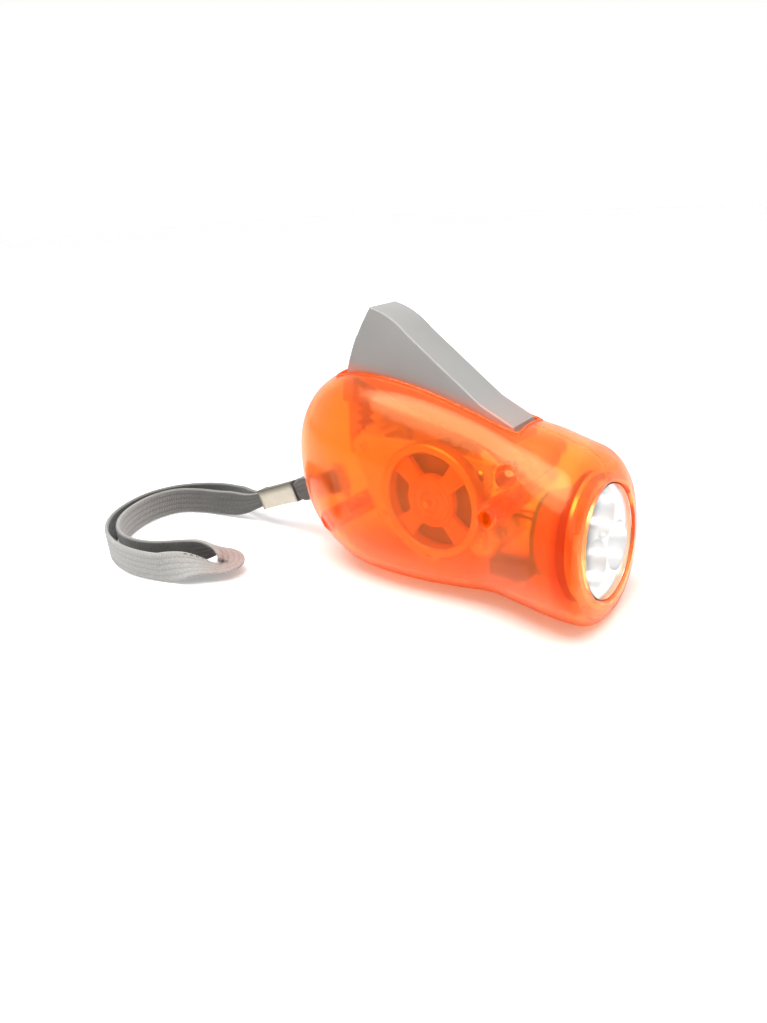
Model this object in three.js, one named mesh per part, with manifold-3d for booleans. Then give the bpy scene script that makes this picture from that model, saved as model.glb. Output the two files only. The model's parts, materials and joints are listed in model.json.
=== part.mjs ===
// Squeeze-lever dynamo flashlight with a clear orange housing, in millimetres.
// x runs from the rear end to the lens, y from the right shell to the left one,
// z up from the surface that the belly stands on, with the lever on top.
import * as THREE from 'three';
import { mergeVertices } from 'three/addons/utils/BufferGeometryUtils.js';
import Module from 'manifold-3d';

const wasm = await Module();
wasm.setup();

// Shared fits
const wall = 2;
const seatGap = 0.3;
const runGap = 0.5;
const overrun = 4;
const weldDistance = 0.0001;
const partingGap = 0.3;

// Housing outline
const bodyLength = 108;
const bodyHeight = 66.5;
const bodyWidth = 45;
const domeLength = 34;
const domePower = 2.4;
const frontRound = 5.8;
const frontLeanDegrees = 5;
const backLineShares = [[0, 0.975], [0.15, 0.995], [0.26, 1], [0.39, 0.984], [0.5, 0.951],
  [0.63, 0.892], [0.75, 0.832], [0.84, 0.806], [0.92, 0.769], [1, 0.727]];
const bellyLineShares = [[0, 0.03], [0.15, 0.018], [0.28, -0.006], [0.46, -0.0075], [0.59, 0.009],
  [0.71, 0.027], [0.8, 0.009], [0.88, -0.006], [0.955, -0.004], [1, 0.006]];
const sideLineShares = [[0, 0.87], [0.11, 0.9], [0.26, 0.975], [0.39, 1], [0.52, 0.95],
  [0.63, 0.88], [0.71, 0.862], [0.8, 0.95], [0.88, 1.045], [0.945, 1.07], [1, 1.05]];
const cornerPowerShares = [[0, 2.4], [0.7, 2.4], [0.88, 2.1], [1, 2.1]];
const leanShares = [[0, 0], [0.72, 0], [0.81, 0.5], [0.9, 1], [1, 1]];

// One unit of what the housing carries, from how many of them each side of the housing takes
const unitCounts = { x: 108, y: 45, z: 66.5 };
const unit = Math.min(bodyLength / unitCounts.x, bodyWidth / unitCounts.y, bodyHeight / unitCounts.z);

const stationShares = [0.004, 0.016, 0.04, 0.08, 0.14, 0.22, 0.31, 0.42, 0.54, 0.63, 0.71,
  0.79, 0.86, 0.91];
const innerStationShares = [0.006, 0.03, 0.08, 0.16, 0.27, 0.42, 0.56, 0.66, 0.73, 0.81, 0.89];
const roundShares = [0.35, 0.66, 0.88, 1];
const ringSides = 24;
const innerRingSides = 18;
const wheelSides = 32;
const discSides = 22;
const coreSides = 16;
const pinSides = 12;
const screwSides = 8;
const arcSteps = 6;
const rimSteps = 14;
const spokeOuterSteps = 8;
const spokeInnerSteps = 4;
const clawSteps = 3;
const sweepSides = 72;
const cupSides = 18;

// Squeeze lever, which turns about a pin under the roof behind the head
const pivotX = 84 * unit;
const pivotZ = 44.5 * unit;
const pivotPinRadius = 1.5 * unit;
const pivotPinReach = 6 * unit;
const leverWidth = 12.6 * unit;
const leverRadius = 64.3 * unit;
const leverWall = 1.8 * unit;
const leverNoseRadius = 5.6 * unit;
const leverNoseTurnDegrees = 5;
const leverNoseEndDegrees = -110;
const leverTravelDegrees = 17;
const leverTopAngleDegrees = 141.1;
const leverCrownLength = 7.4 * unit;
const leverCrownDrop = 1.5 * unit;
const leverShoulderX = 46.9 * unit;
const leverShoulderZ = 77.9 * unit;
const leverNeckX = 70.6 * unit;
const leverNeckZ = 60.1 * unit;
const leverHeelX = 81 * unit;
const leverHeelZ = 54.9 * unit;
const skirtRearZ = 64.4 * unit;
const skirtFrontX = 72 * unit;
const skirtFrontZ = 47 * unit;
const slotFrontX = 82.9 * unit;
const slotGap = 0.5 * unit;
const slotRibWall = 1.4 * unit;
const slotRibDepth = 3 * unit;
const stopLugReach = 0.6 * unit;
const stopLugHeight = 3.5 * unit;
const stopLugFootZ = 55.5 * unit;

// Gear train: toothed lever arc, one-way input pair, compound gear, rotor pinion
const pressureDegrees = 25;
const wheelFlankShares = [0, 1];
const pinionFlankShares = [0, 0.5, 1];
const addendumShare = 0.8;
const dedendumShare = 1.05;
const backlashShare = 0.1;
const arcModule = 1 * unit;
const arcTeeth = 120;
const arcPinionTeeth = 10;
const arcWidth = 6.8 * unit;
const arcFootShare = 2;
const arcReachDegrees = 3.5;
const meshAngleDegrees = 182.5;
const firstModule = 0.8 * unit;
const driveTeeth = 40;
const secondPinionTeeth = 11;
const lastModule = 0.6 * unit;
const secondTeeth = 36;
const rotorPinionTeeth = 9;
const axleRadius = 1.5 * unit;
const axleGap = 0.1 * unit;
const axleBossWall = 1.5 * unit;
const driveGearY = 8.6 * unit;
const driveGearWidth = 1.6 * unit;
const driveWebWidth = 0.7 * unit;
const secondGearWidth = 1.4 * unit;
const secondFaceInner = 5.5 * unit;
const secondFaceOuter = 8.6 * unit;
const secondFaceDepth = 0.6 * unit;
const layerGap = 0.5 * unit;
const hubRadius = 2.4 * unit;
const ratchetRadius = 5.2 * unit;
const ratchetTeeth = 12;
const ratchetToothDepth = 0.9 * unit;
const pawlRingRadius = 7.6 * unit;
const pawlWidth = 1.1 * unit;
const pawlCount = 3;
const pawlRootTurn = 0.3;
const pawlBackTurn = 0.9;
const pawlTipTurn = 0.95;
const pawlBellyTurn = 0.5;
const pawlBellyDepth = 0.44 * unit;

// Generator on the rotor shaft
const rotorX = 57.3 * unit;
const rotorZ = 31.4 * unit;
const rotorShaftRadius = 1 * unit;
const flywheelRadius = 17.4 * unit;
const flywheelWidth = 4.8 * unit;
const flywheelInnerY = -9.4 * unit;
const flywheelRimWidth = 2.7 * unit;
const flywheelHubRadius = 6.8 * unit;
const flywheelWebWidth = 2.2 * unit;
const flywheelBossRadius = 2.9 * unit;
const spokeOpeningInner = 7.6 * unit;
const spokeOpeningHalfDegrees = 32;
const spokeCount = 4;
const magnetRadius = 6.4 * unit;
const magnetLength = 9.4 * unit;
const clawRadius = 11.4 * unit;
const clawSheet = 0.8 * unit;
const clawBore = 7 * unit;
const clawCount = 4;
const clawHalfAngleDegrees = 15;
const statorLength = 10.4 * unit;
const bobbinInner = 8.2 * unit;
const bobbinOuter = 10.2 * unit;
const bobbinSheet = 0.7 * unit;

// Plate that carries the generator and the axles
const plateThickness = 1.4 * unit;
const plateOuterY = -8.2 * unit;
const plateEdge = 4 * unit;
const postRadius = 2.5 * unit;
const postPlaces = {
  low: [36 * unit, 22 * unit],
  front: [71.5 * unit, 39.8 * unit],
  belly: [52 * unit, 11.2 * unit],
};
const postScrewRadius = 0.9 * unit;
const postScrewHeadRadius = 1.8 * unit;
const postScrewHeadHeight = 0.7 * unit;
const postScrewLength = 7 * unit;

// Housing screws, one driven from each side
const screwBossRadius = 3.6 * unit;
const screwHeadRadius = 2 * unit;
const screwHeadHeight = 1.6 * unit;
const screwShankRadius = 1.1 * unit;
const screwHeadY = 10.5 * unit;
const screwDepth = 9 * unit;
const screwTopShare = 0.72;
const crossLengthShare = 0.75;
const crossWidthShare = 0.16;
const frontScrew = [79.4 * unit, 32.6 * unit];
const rearScrew = [19.3 * unit, 18.5 * unit];

// Lamp head, measured back from the front face along the leaning lens axis
const lensHeight = 24.2 * unit;
const lensOpeningRadius = 16.8 * unit;
const lensFlangeRadius = 18.6 * unit;
const lensThickness = 1.8 * unit;
const lensProud = 1.5 * unit;
const reflectorDepth = 12.4 * unit;
const reflectorFlange = 1.2 * unit;
const reflectorRadius = 16.3 * unit;
const reflectorRearRadius = 12.4 * unit;
const cupOffset = 8.4 * unit;
const cupRadius = 7.2 * unit;
const cupDepth = 9.6 * unit;
const cupCount = 3;
const bowlShares = [0, 0.25, 0.6, 1];
const ledRadius = 2.5 * unit;
const ledFlangeRadius = 2.9 * unit;
const ledFlangeHeight = 1 * unit;
const ledHeight = 8.6 * unit;
const ledDomeShares = [0.5, 0.8, 1];
const boardRadius = 12.8 * unit;
const boardThickness = 1.6 * unit;
const headRibWidth = 1.4 * unit;
const headRibInner = 17.4 * unit;

// Rechargeable cells between the generator and the head
const cellX = 71.6 * unit;
const cellZ = 20 * unit;
const cellRadius = 5.8 * unit;
const cellHeight = 5.4 * unit;
const cellCount = 3;
const cellEdge = 0.7 * unit;
const cradleWall = 1.4 * unit;
const tabWidth = 4 * unit;
const tabSheet = 0.3 * unit;

// Slide switch in the hollow of the belly
const switchX = 77 * unit;
const switchTravel = 4 * unit;
const switchBodySize = { x: 12 * unit, y: 6.4 * unit, z: 5.4 * unit };
const switchKnobSize = { x: 5 * unit, y: 3.8 * unit };
const switchKnobFootZ = 0.4 * unit;
const switchCarrierSize = { x: 8.4 * unit, y: 6 * unit, z: 1 * unit };
const switchRibWall = 1.2 * unit;
const switchGrooves = 3;
const switchGrooveDepth = 0.4 * unit;

// Wrist strap, its crimp and the post that it loops round
const strapExitZ = 21.6 * unit;
const strapSlopeDegrees = 20.6;
const strapWidth = 10 * unit;
const strapTailWidth = 8.6 * unit;
const strapThickness = 1.3 * unit;
const strapRunOffset = 1 * unit;
const strapPostInset = 11 * unit;
const strapPostRadius = 1.5 * unit;
const strapPostReach = 1.6 * unit;
const strapShelfWall = 1.5 * unit;
const strapShelfLength = 8 * unit;
const strapTailLength = 18 * unit;
const strapTailParallel = 5.6 * unit;
const strapInsideLength = 8.6 * unit;
const strapFlareLength = 18 * unit;
const crimpInset = 6 * unit;
const crimpLength = 20 * unit;
const crimpHeight = 7.2 * unit;
const crimpThickness = 4.6 * unit;
const crimpWall = 0.6 * unit;
const crimpPinchDepth = 0.2 * unit;
const strapSteps = 46;

// Return spring on the lever pin
const springCoilRadius = 3.1 * unit;
const springWireRadius = 0.4 * unit;
const springPitch = 1.25 * unit;
const springTurns = 5;
const springStepsPerTurn = 12;
const springWireSides = 5;
const springUpperDegrees = 176;
const springUpperStraight = 5 * unit;
const springBendDegrees = 130;
const springUpperLeg = 11 * unit;
const springLowerLeg = 14 * unit;

// Leads
const leadRadius = 0.55 * unit;
const leadOffset = 1.65 * unit;
const coilLeadEndOffset = 2.5 * unit;
const switchLeadEndOffset = 3.3 * unit;
const leadSides = 5;
const leadSteps = 9;

const degrees = Math.PI / 180;

// Finishes
function finish(color, roughness, metalness, opacity = 1) {
  return new THREE.MeshStandardMaterial({
    color, roughness, metalness, opacity, transparent: opacity < 1, side: THREE.FrontSide,
  });
}
const orangeClear = finish(0xff5a18, 0.22, 0, 0.75);
const greyPlastic = finish(0x9c9894, 0.45, 0);
const lensClear = finish(0xf6f8f8, 0.08, 0, 0.35);
const chrome = finish(0xe9e9ea, 0.12, 1);
const steel = finish(0xb4b6b8, 0.3, 1);
const whitePlastic = finish(0xe6e2da, 0.4, 0);
const darkPlastic = finish(0x2b2b2d, 0.5, 0);
const copper = finish(0xb8642c, 0.35, 1);
const boardGreen = finish(0x2c6b3d, 0.5, 0);
const webbing = finish(0x8c8c88, 0.9, 0);
const ledClear = finish(0xf4f4ee, 0.1, 0, 0.6);

// Closed solid from a three.js geometry, with its faces turned outwards
function solid(geometry) {
  const bare = geometry.clone();
  bare.deleteAttribute('normal');
  bare.deleteAttribute('uv');
  const merged = mergeVertices(bare, weldDistance);
  const places = merged.attributes.position.array;
  const corner = [new THREE.Vector3(), new THREE.Vector3(), new THREE.Vector3()];
  const faces = [];
  let volume = 0;
  for (let i = 0; i < merged.index.count; i += 3) {
    const [a, b, c] = [0, 1, 2].map((k) => merged.index.getX(i + k));
    if (a === b || b === c || c === a) continue;
    [a, b, c].forEach((v, k) => corner[k].fromArray(places, v * 3));
    volume += corner[0].dot(corner[1].clone().cross(corner[2]));
    faces.push([a, b, c]);
  }
  const turned = volume < 0 ? faces.map(([a, b, c]) => [a, c, b]) : faces;
  return new wasm.Manifold(new wasm.Mesh({
    numProp: 3,
    vertProperties: Float32Array.from(places),
    triVerts: Uint32Array.from(turned.flat()),
  }));
}

function block(x, y, z) {
  const geometry = new THREE.BoxGeometry(x[1] - x[0], y[1] - y[0], z[1] - z[0]);
  return solid(geometry.translate((x[0] + x[1]) / 2, (y[0] + y[1]) / 2, (z[0] + z[1]) / 2));
}

// Cylinder along y about the point x, z
function rod([x, z], radius, y, sides = pinSides) {
  const geometry = new THREE.CylinderGeometry(radius, radius, y[1] - y[0], sides);
  return solid(geometry.translate(x, (y[0] + y[1]) / 2, z));
}

// Profile of [radius, y] points turned about the y axis at x, z
function turned([x, z], profile, sides = discSides) {
  const points = profile.map(([radius, y]) => new THREE.Vector2(radius, y));
  return solid(new THREE.LatheGeometry(points, sides).translate(x, 0, z));
}

// Shape drawn in x, z and made solid between two y values
function slab(shape, y, curveSegments = 12) {
  const depth = y[1] - y[0];
  const geometry = new THREE.ExtrudeGeometry(shape, { depth, bevelEnabled: false, curveSegments });
  return solid(geometry.rotateX(Math.PI / 2).translate(0, y[1], 0));
}

function outline(points) {
  return new THREE.Shape(points.map(([x, z]) => new THREE.Vector2(x, z)));
}

function polar([x, z], radius, angle) {
  return [x + radius * Math.cos(angle), z + radius * Math.sin(angle)];
}

function arcPoints(centre, radius, from, to, steps) {
  return Array.from({ length: steps + 1 }, (_, i) => polar(centre, radius, from + (to - from) * i / steps));
}

// Smooth line through hand-chosen points of [share, value]
function smoothLine(points) {
  const slope = points.map((_, i) => {
    const before = points[Math.max(i - 1, 0)];
    const after = points[Math.min(i + 1, points.length - 1)];
    return (after[1] - before[1]) / (after[0] - before[0]);
  });
  return (share) => {
    const at = Math.min(Math.max(share, points[0][0]), points.at(-1)[0]);
    const i = Math.max(points.findIndex((point) => point[0] >= at), 1);
    const span = points[i][0] - points[i - 1][0];
    const t = (at - points[i - 1][0]) / span;
    const ease = t ** 2 * (3 - 2 * t);
    return points[i - 1][1] * (1 - ease) + points[i][1] * ease
      + span * t * (1 - t) * (slope[i - 1] * (1 - t) - slope[i] * t);
  };
}

const backLine = smoothLine(backLineShares);
const bellyLine = smoothLine(bellyLineShares);
const sideLine = smoothLine(sideLineShares);
const cornerPower = smoothLine(cornerPowerShares);
const leanLine = smoothLine(leanShares);
const lean = frontLeanDegrees * degrees;

// One rounded cross-section of the housing, inset by a wall
function housingRing(x, inset, sides) {
  const share = x / bodyLength;
  const top = backLine(share) * bodyHeight - inset;
  const bottom = bellyLine(share) * bodyHeight + inset;
  const domeShare = Math.min(Math.max((domeLength - x) / (domeLength - inset), 0), 1);
  const dome = (1 - domeShare ** domePower) ** (1 / domePower);
  const round = frontRound - inset;
  const past = Math.min(Math.max(x - (bodyLength - frontRound), 0), round);
  const drawn = round - Math.sqrt(round ** 2 - past ** 2);
  const rise = (top - bottom) / 2 * dome - drawn;
  const half = (sideLine(share) * bodyWidth / 2 - inset) * dome - drawn;
  const power = 2 / cornerPower(share);
  return Array.from({ length: sides }, (_, i) => {
    const turn = 2 * Math.PI * i / sides;
    const z = (top + bottom) / 2 + rise * Math.sign(Math.sin(turn)) * Math.abs(Math.sin(turn)) ** power;
    const y = half * Math.sign(Math.cos(turn)) * Math.abs(Math.cos(turn)) ** power;
    return new THREE.Vector3(x - Math.tan(lean) * leanLine(share) * (z - lensHeight), y, z);
  });
}

// Closed skin over rings, with a point at the first end and a flat last end
function loft(rings, firstPoint) {
  const sides = rings[0].length;
  const last = rings.at(-1);
  const lastPoint = last.reduce((sum, point) => sum.add(point), new THREE.Vector3()).divideScalar(sides);
  const points = [firstPoint, ...rings.flat(), lastPoint];
  const faces = [];
  for (let k = 0; k < sides; k += 1) {
    const next = (k + 1) % sides;
    faces.push(0, 1 + next, 1 + k);
    for (let r = 0; r < rings.length - 1; r += 1) {
      const [a, b] = [1 + r * sides + k, 1 + r * sides + next];
      faces.push(a, b, b + sides, a, b + sides, a + sides);
    }
    const base = 1 + (rings.length - 1) * sides;
    faces.push(base + k, base + next, points.length - 1);
  }
  const geometry = new THREE.BufferGeometry().setFromPoints(points);
  return solid(geometry.setIndex(faces));
}

function housingSolid(inset, shares, sides) {
  const places = shares.map((share) => inset + share * (bodyLength - inset));
  const roundStart = bodyLength - frontRound;
  const kept = places.filter((x) => x < roundStart);
  const rounds = roundShares.map((share) => roundStart + share * (frontRound - inset));
  const rings = [...kept, roundStart, ...rounds].map((x) => housingRing(x, inset, sides));
  const middle = (backLine(0) + bellyLine(0)) * bodyHeight / 2;
  return loft(rings, new THREE.Vector3(inset, 0, middle));
}

// Frame of the leaning lamp head: its y axis runs back into the body from the front face
const headFrame = new THREE.Group();
headFrame.position.set(bodyLength, 0, lensHeight);
headFrame.rotation.set(0, -lean, 0);
const headTurn = new THREE.Matrix4().makeRotationZ(Math.PI / 2);
headFrame.updateMatrix();
const headMatrix = headFrame.matrix.clone().multiply(headTurn);

function inHead(geometry) {
  return solid(geometry.applyMatrix4(headMatrix));
}

function headTurned(profile, sides = wheelSides) {
  return inHead(new THREE.LatheGeometry(profile.map(([radius, y]) => new THREE.Vector2(radius, y)), sides));
}

// Frame of the sloping strap: its x axis runs out of the rear along the strap
const strapFrame = new THREE.Group();
strapFrame.position.set(0, 0, strapExitZ);
strapFrame.rotation.set(0, Math.PI - strapSlopeDegrees * degrees, 0);
strapFrame.updateMatrix();
const strapMatrix = strapFrame.matrix.clone();

function inStrap(geometry) {
  return solid(geometry.applyMatrix4(strapMatrix));
}

function strapBlock(x, y, z) {
  const geometry = new THREE.BoxGeometry(x[1] - x[0], y[1] - y[0], z[1] - z[0]);
  return inStrap(geometry.translate((x[0] + x[1]) / 2, (y[0] + y[1]) / 2, (z[0] + z[1]) / 2));
}

// Gear places, worked out from the pivot, the rotor and the tooth counts
const pivot = [pivotX, pivotZ];
const rotor = [rotorX, rotorZ];
const meshAngle = meshAngleDegrees * degrees;
const arcRadius = arcModule * arcTeeth / 2;
const drive = polar(pivot, arcModule * (arcTeeth - arcPinionTeeth) / 2, meshAngle);
const driveToSecond = firstModule * (driveTeeth + secondPinionTeeth) / 2;
const secondToRotor = lastModule * (secondTeeth + rotorPinionTeeth) / 2;
const driveToRotor = Math.hypot(rotor[0] - drive[0], rotor[1] - drive[1]);
const rotorAngle = Math.atan2(rotor[1] - drive[1], rotor[0] - drive[0]);
const secondTurn = (driveToSecond ** 2 + driveToRotor ** 2 - secondToRotor ** 2)
  / (2 * driveToSecond * driveToRotor);
const secondAngle = rotorAngle + Math.acos(secondTurn);
const second = polar(drive, driveToSecond, secondAngle);
const lastAngle = Math.atan2(rotor[1] - second[1], rotor[0] - second[0]);

// Tooth outline by the involute of a circle; phase is the direction of one tooth's middle
function gearPoints(centre, {
  module, teeth, phase, addendum = addendumShare, dedendum = dedendumShare, play, flankShares,
}) {
  const pitch = module * teeth / 2;
  const pressure = pressureDegrees * degrees;
  const base = pitch * Math.cos(pressure);
  const tip = pitch + addendum * module;
  const root = pitch - dedendum * module;
  const start = Math.max(base, root);
  const involute = (angle) => Math.tan(angle) - angle;
  const halfAt = (radius) => (Math.PI * module / 2 - play * module) / 2 / pitch
    + involute(pressure) - involute(Math.acos(Math.min(base / radius, 1)));
  const flank = flankShares.map((share) => start + (tip - start) * share);
  const points = [];
  for (let k = 0; k < teeth; k += 1) {
    const middle = phase + 2 * Math.PI * k / teeth;
    const rise = flank.map((radius) => polar(centre, radius, middle - halfAt(radius)));
    const fall = flank.map((radius) => polar(centre, radius, middle + halfAt(radius))).reverse();
    const foot = root < start ? [polar(centre, root, middle - halfAt(start))] : [];
    const heel = root < start ? [polar(centre, root, middle + halfAt(start))] : [];
    points.push(...foot, ...rise, ...fall, ...heel);
  }
  return points;
}

function gearSlab(centre, options, y) {
  const flankShares = options.teeth > secondPinionTeeth ? wheelFlankShares : pinionFlankShares;
  return slab(outline(gearPoints(centre, { play: backlashShare, flankShares, ...options })), y);
}

// Housing: one hollow form, then everything that both shells share
const outerForm = housingSolid(0, stationShares, ringSides);
const innerForm = housingSolid(wall, innerStationShares, innerRingSides);
const midWall = housingSolid(wall / 2, stationShares, ringSides);
const span = bodyLength + bodyHeight;
const farY = [-bodyWidth, bodyWidth];

const slotHalf = leverWidth / 2 + slotGap;
const slotSweep = rod(pivot, leverRadius + slotGap, farY, sweepSides);
const slotCut = block([0, slotFrontX], [-slotHalf, slotHalf], [pivotZ, span]).intersect(slotSweep);
const ribHalf = slotHalf + slotRibWall;
const ribSweep = rod(pivot, leverRadius + slotGap + slotRibWall, farY, sweepSides);
const underRoof = innerForm.subtract(innerForm.translate([0, 0, -slotRibDepth]));
const slotRibs = block([0, slotFrontX], [-ribHalf, ribHalf], [pivotZ, span])
  .intersect(ribSweep).intersect(underRoof.add(outerForm.subtract(innerForm)));

const lensBack = wall + seatGap + lensThickness;
const flangeFront = lensBack + seatGap;
const flangeBack = flangeFront + reflectorFlange;
const headRibFront = flangeBack + seatGap;
const headRib = headTurned([[headRibInner, headRibFront], [bodyWidth, headRibFront],
  [bodyWidth, headRibFront + headRibWidth], [headRibInner, headRibFront + headRibWidth],
  [headRibInner, headRibFront]]);
const lensCut = headTurned([[0, -overrun], [lensOpeningRadius, -overrun],
  [lensOpeningRadius, lensBack], [0, lensBack]]);

const tailHalf = strapRunOffset + strapThickness / 2;
const strapSlotHalf = tailHalf + seatGap;
const shelfInner = strapTailWidth / 2 + seatGap;
const strapSlot = strapBlock([-strapInsideLength, overrun], [-strapSlotHalf, strapSlotHalf],
  [-shelfInner, shelfInner]);
const postX = -strapPostInset;
const shelves = [-1, 1].map((side) => {
  const z = [side * shelfInner, side * (shelfInner + strapShelfWall)].sort((a, b) => a - b);
  return strapBlock([postX - strapShelfLength / 2, 0], farY, z);
});
const postHole = inStrap(new THREE.CylinderGeometry(strapPostRadius + axleGap, strapPostRadius + axleGap,
  2 * (shelfInner + strapShelfWall) + overrun, pinSides).rotateX(Math.PI / 2).translate(postX, 0, 0));

const switchFloor = (bellyLine(switchX / bodyLength) * bodyHeight) + wall;
const carrierZ = switchFloor + seatGap + switchGrooveDepth;
const switchBodyZ = carrierZ + switchCarrierSize.z + seatGap;
const switchSlotHalf = switchKnobSize.y / 2 + seatGap;
const knobRear = switchX - (switchKnobSize.x + switchTravel) / 2;
const switchSlot = block([knobRear - seatGap, knobRear + switchKnobSize.x + switchTravel + seatGap],
  [-switchSlotHalf, switchSlotHalf], [-overrun, switchFloor + overrun]);
const switchRibTop = switchBodyZ + switchBodySize.z / 2;
const switchRibs = [-1, 1].map((side) => {
  const near = switchX + side * (switchBodySize.x / 2 + seatGap);
  const x = [near, near + side * switchRibWall].sort((a, b) => a - b);
  return block(x, [-switchBodySize.y / 2, switchBodySize.y / 2], [-overrun, switchRibTop]);
});

let housing = outerForm.subtract(innerForm);
[slotRibs, headRib, ...shelves, ...switchRibs].forEach((rib) => {
  housing = housing.add(rib.intersect(midWall));
});
[slotCut, strapSlot, switchSlot, lensCut, postHole].forEach((cut) => {
  housing = housing.subtract(cut);
});
const standing = block([-overrun, span], farY, [0, span]);
housing = housing.intersect(standing);

// Bosses that grow out of one shell's wall
function boss(side, place, radius, innerY, sides = pinSides) {
  const y = side < 0 ? [-bodyWidth, -innerY] : [innerY, bodyWidth];
  return rod(place, radius, y, sides).intersect(midWall);
}

function bore(side, place, radius, innerY, outerY, sides = pinSides) {
  const y = side < 0 ? [-outerY, -innerY] : [innerY, outerY];
  return rod(place, radius, y, sides);
}

const halfGap = partingGap / 2;
const rightHalf = block([-overrun, span], [-bodyWidth, -halfGap], [-overrun, span]);
const leftHalf = block([-overrun, span], [halfGap, bodyWidth], [-overrun, span]);
const pinEnd = leverWidth / 2 + runGap + pivotPinReach;
const plateInnerY = plateOuterY + plateThickness;
const secondGearY = driveGearY + driveGearWidth + driveWebWidth;
const gearStackEnd = secondGearY + secondGearWidth + layerGap;
const axleEnd = gearStackEnd + overrun;
const cellStack = cellCount * cellHeight + (cellCount - 1) * seatGap;
const cradleY = cellStack / 2;

function pair(side, place, headSide) {
  const own = boss(side, place, screwBossRadius, halfGap);
  const headed = side === headSide;
  const hole = screwShankRadius + (headed ? seatGap : axleGap);
  let cut = bore(side, place, hole, -overrun, headed ? span : screwDepth);
  const seatY = screwHeadY - screwHeadHeight;
  if (headed) cut = cut.add(bore(side, place, screwHeadRadius + seatGap, seatY, span));
  return { own, cut };
}

function shell(side) {
  const half = side < 0 ? rightHalf : leftHalf;
  const screws = [pair(side, frontScrew, -1), pair(side, rearScrew, 1)];
  const pinBoss = boss(side, pivot, pivotPinRadius + wall, leverWidth / 2 + runGap + halfGap);
  const pinBore = bore(side, pivot, pivotPinRadius + axleGap, 0, pinEnd + seatGap);
  let form = housing.intersect(half);
  [...screws.map((screw) => screw.own), pinBoss].forEach((own) => {
    form = form.add(own);
  });
  [...screws.map((screw) => screw.cut), pinBore].forEach((cut) => {
    form = form.subtract(cut);
  });
  return form;
}

function rightShell() {
  const outerY = flywheelWidth - flywheelInnerY;
  const shaftBoss = boss(-1, rotor, rotorShaftRadius + axleBossWall, outerY + runGap);
  const shaftBore = bore(-1, rotor, rotorShaftRadius + axleGap, -flywheelInnerY, outerY + wall);
  return shell(-1).add(shaftBoss).subtract(shaftBore);
}

function leftShell() {
  let form = shell(1);
  const axles = [[drive, axleRadius], [second, axleRadius], [rotor, rotorShaftRadius]];
  axles.forEach(([place, radius]) => {
    form = form.add(boss(1, place, radius + axleBossWall, gearStackEnd));
    form = form.subtract(bore(1, place, radius + axleGap, 0, axleEnd + seatGap));
  });
  Object.values(postPlaces).forEach((place) => {
    form = form.add(rod(place, postRadius, [plateInnerY + seatGap, bodyWidth]).intersect(midWall));
    const screwY = [plateInnerY, plateInnerY + postScrewLength + seatGap];
    form = form.subtract(rod(place, postScrewRadius + axleGap, screwY, screwSides));
  });
  const cradleOuter = cellRadius + seatGap + cradleWall;
  const cradleEnd = cradleY + tabSheet + seatGap * 2;
  const cradle = rod([cellX, cellZ], cradleOuter, [-cradleY, bodyWidth], discSides)
    .intersect(block([0, span], farY, [0, cellZ]))
    .subtract(rod([cellX, cellZ], cellRadius + seatGap, [-span, cradleEnd], discSides));
  return form.add(cradle.intersect(midWall).intersect(standing));
}

// Squeeze lever: hollow pressed form, open below, with a toothed arc under its rear wall
function leverRoof(inset, noseEnd) {
  const topAngle = leverTopAngleDegrees * degrees;
  const rearAngle = Math.PI - Math.asin((skirtRearZ - pivotZ) / (leverRadius - inset));
  const rear = arcPoints(pivot, leverRadius - inset, rearAngle, topAngle, arcSteps);
  const [topX, topZ] = rear.at(-1);
  const slope = Math.atan2(leverNeckZ - leverShoulderZ, leverNeckX - leverShoulderX);
  const [side, drop] = [inset * Math.sin(slope), inset * Math.cos(slope)];
  const crown = new THREE.QuadraticBezierCurve(
    new THREE.Vector2(topX, topZ - inset),
    new THREE.Vector2(topX + leverCrownLength, topZ - leverCrownDrop - inset),
    new THREE.Vector2(leverShoulderX + side, leverShoulderZ - drop),
  ).getPoints(arcSteps).map((point) => [point.x, point.y]);
  const noseAngle = Math.atan2(leverHeelZ - pivotZ, leverHeelX - pivotX) + leverNoseTurnDegrees * degrees;
  const nose = arcPoints(pivot, leverNoseRadius - inset, noseAngle, noseEnd, arcSteps);
  return [...rear.slice(0, -1), ...crown, [leverNeckX + side, leverNeckZ - drop],
    [leverHeelX + side, leverHeelZ - drop], ...nose];
}

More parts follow.
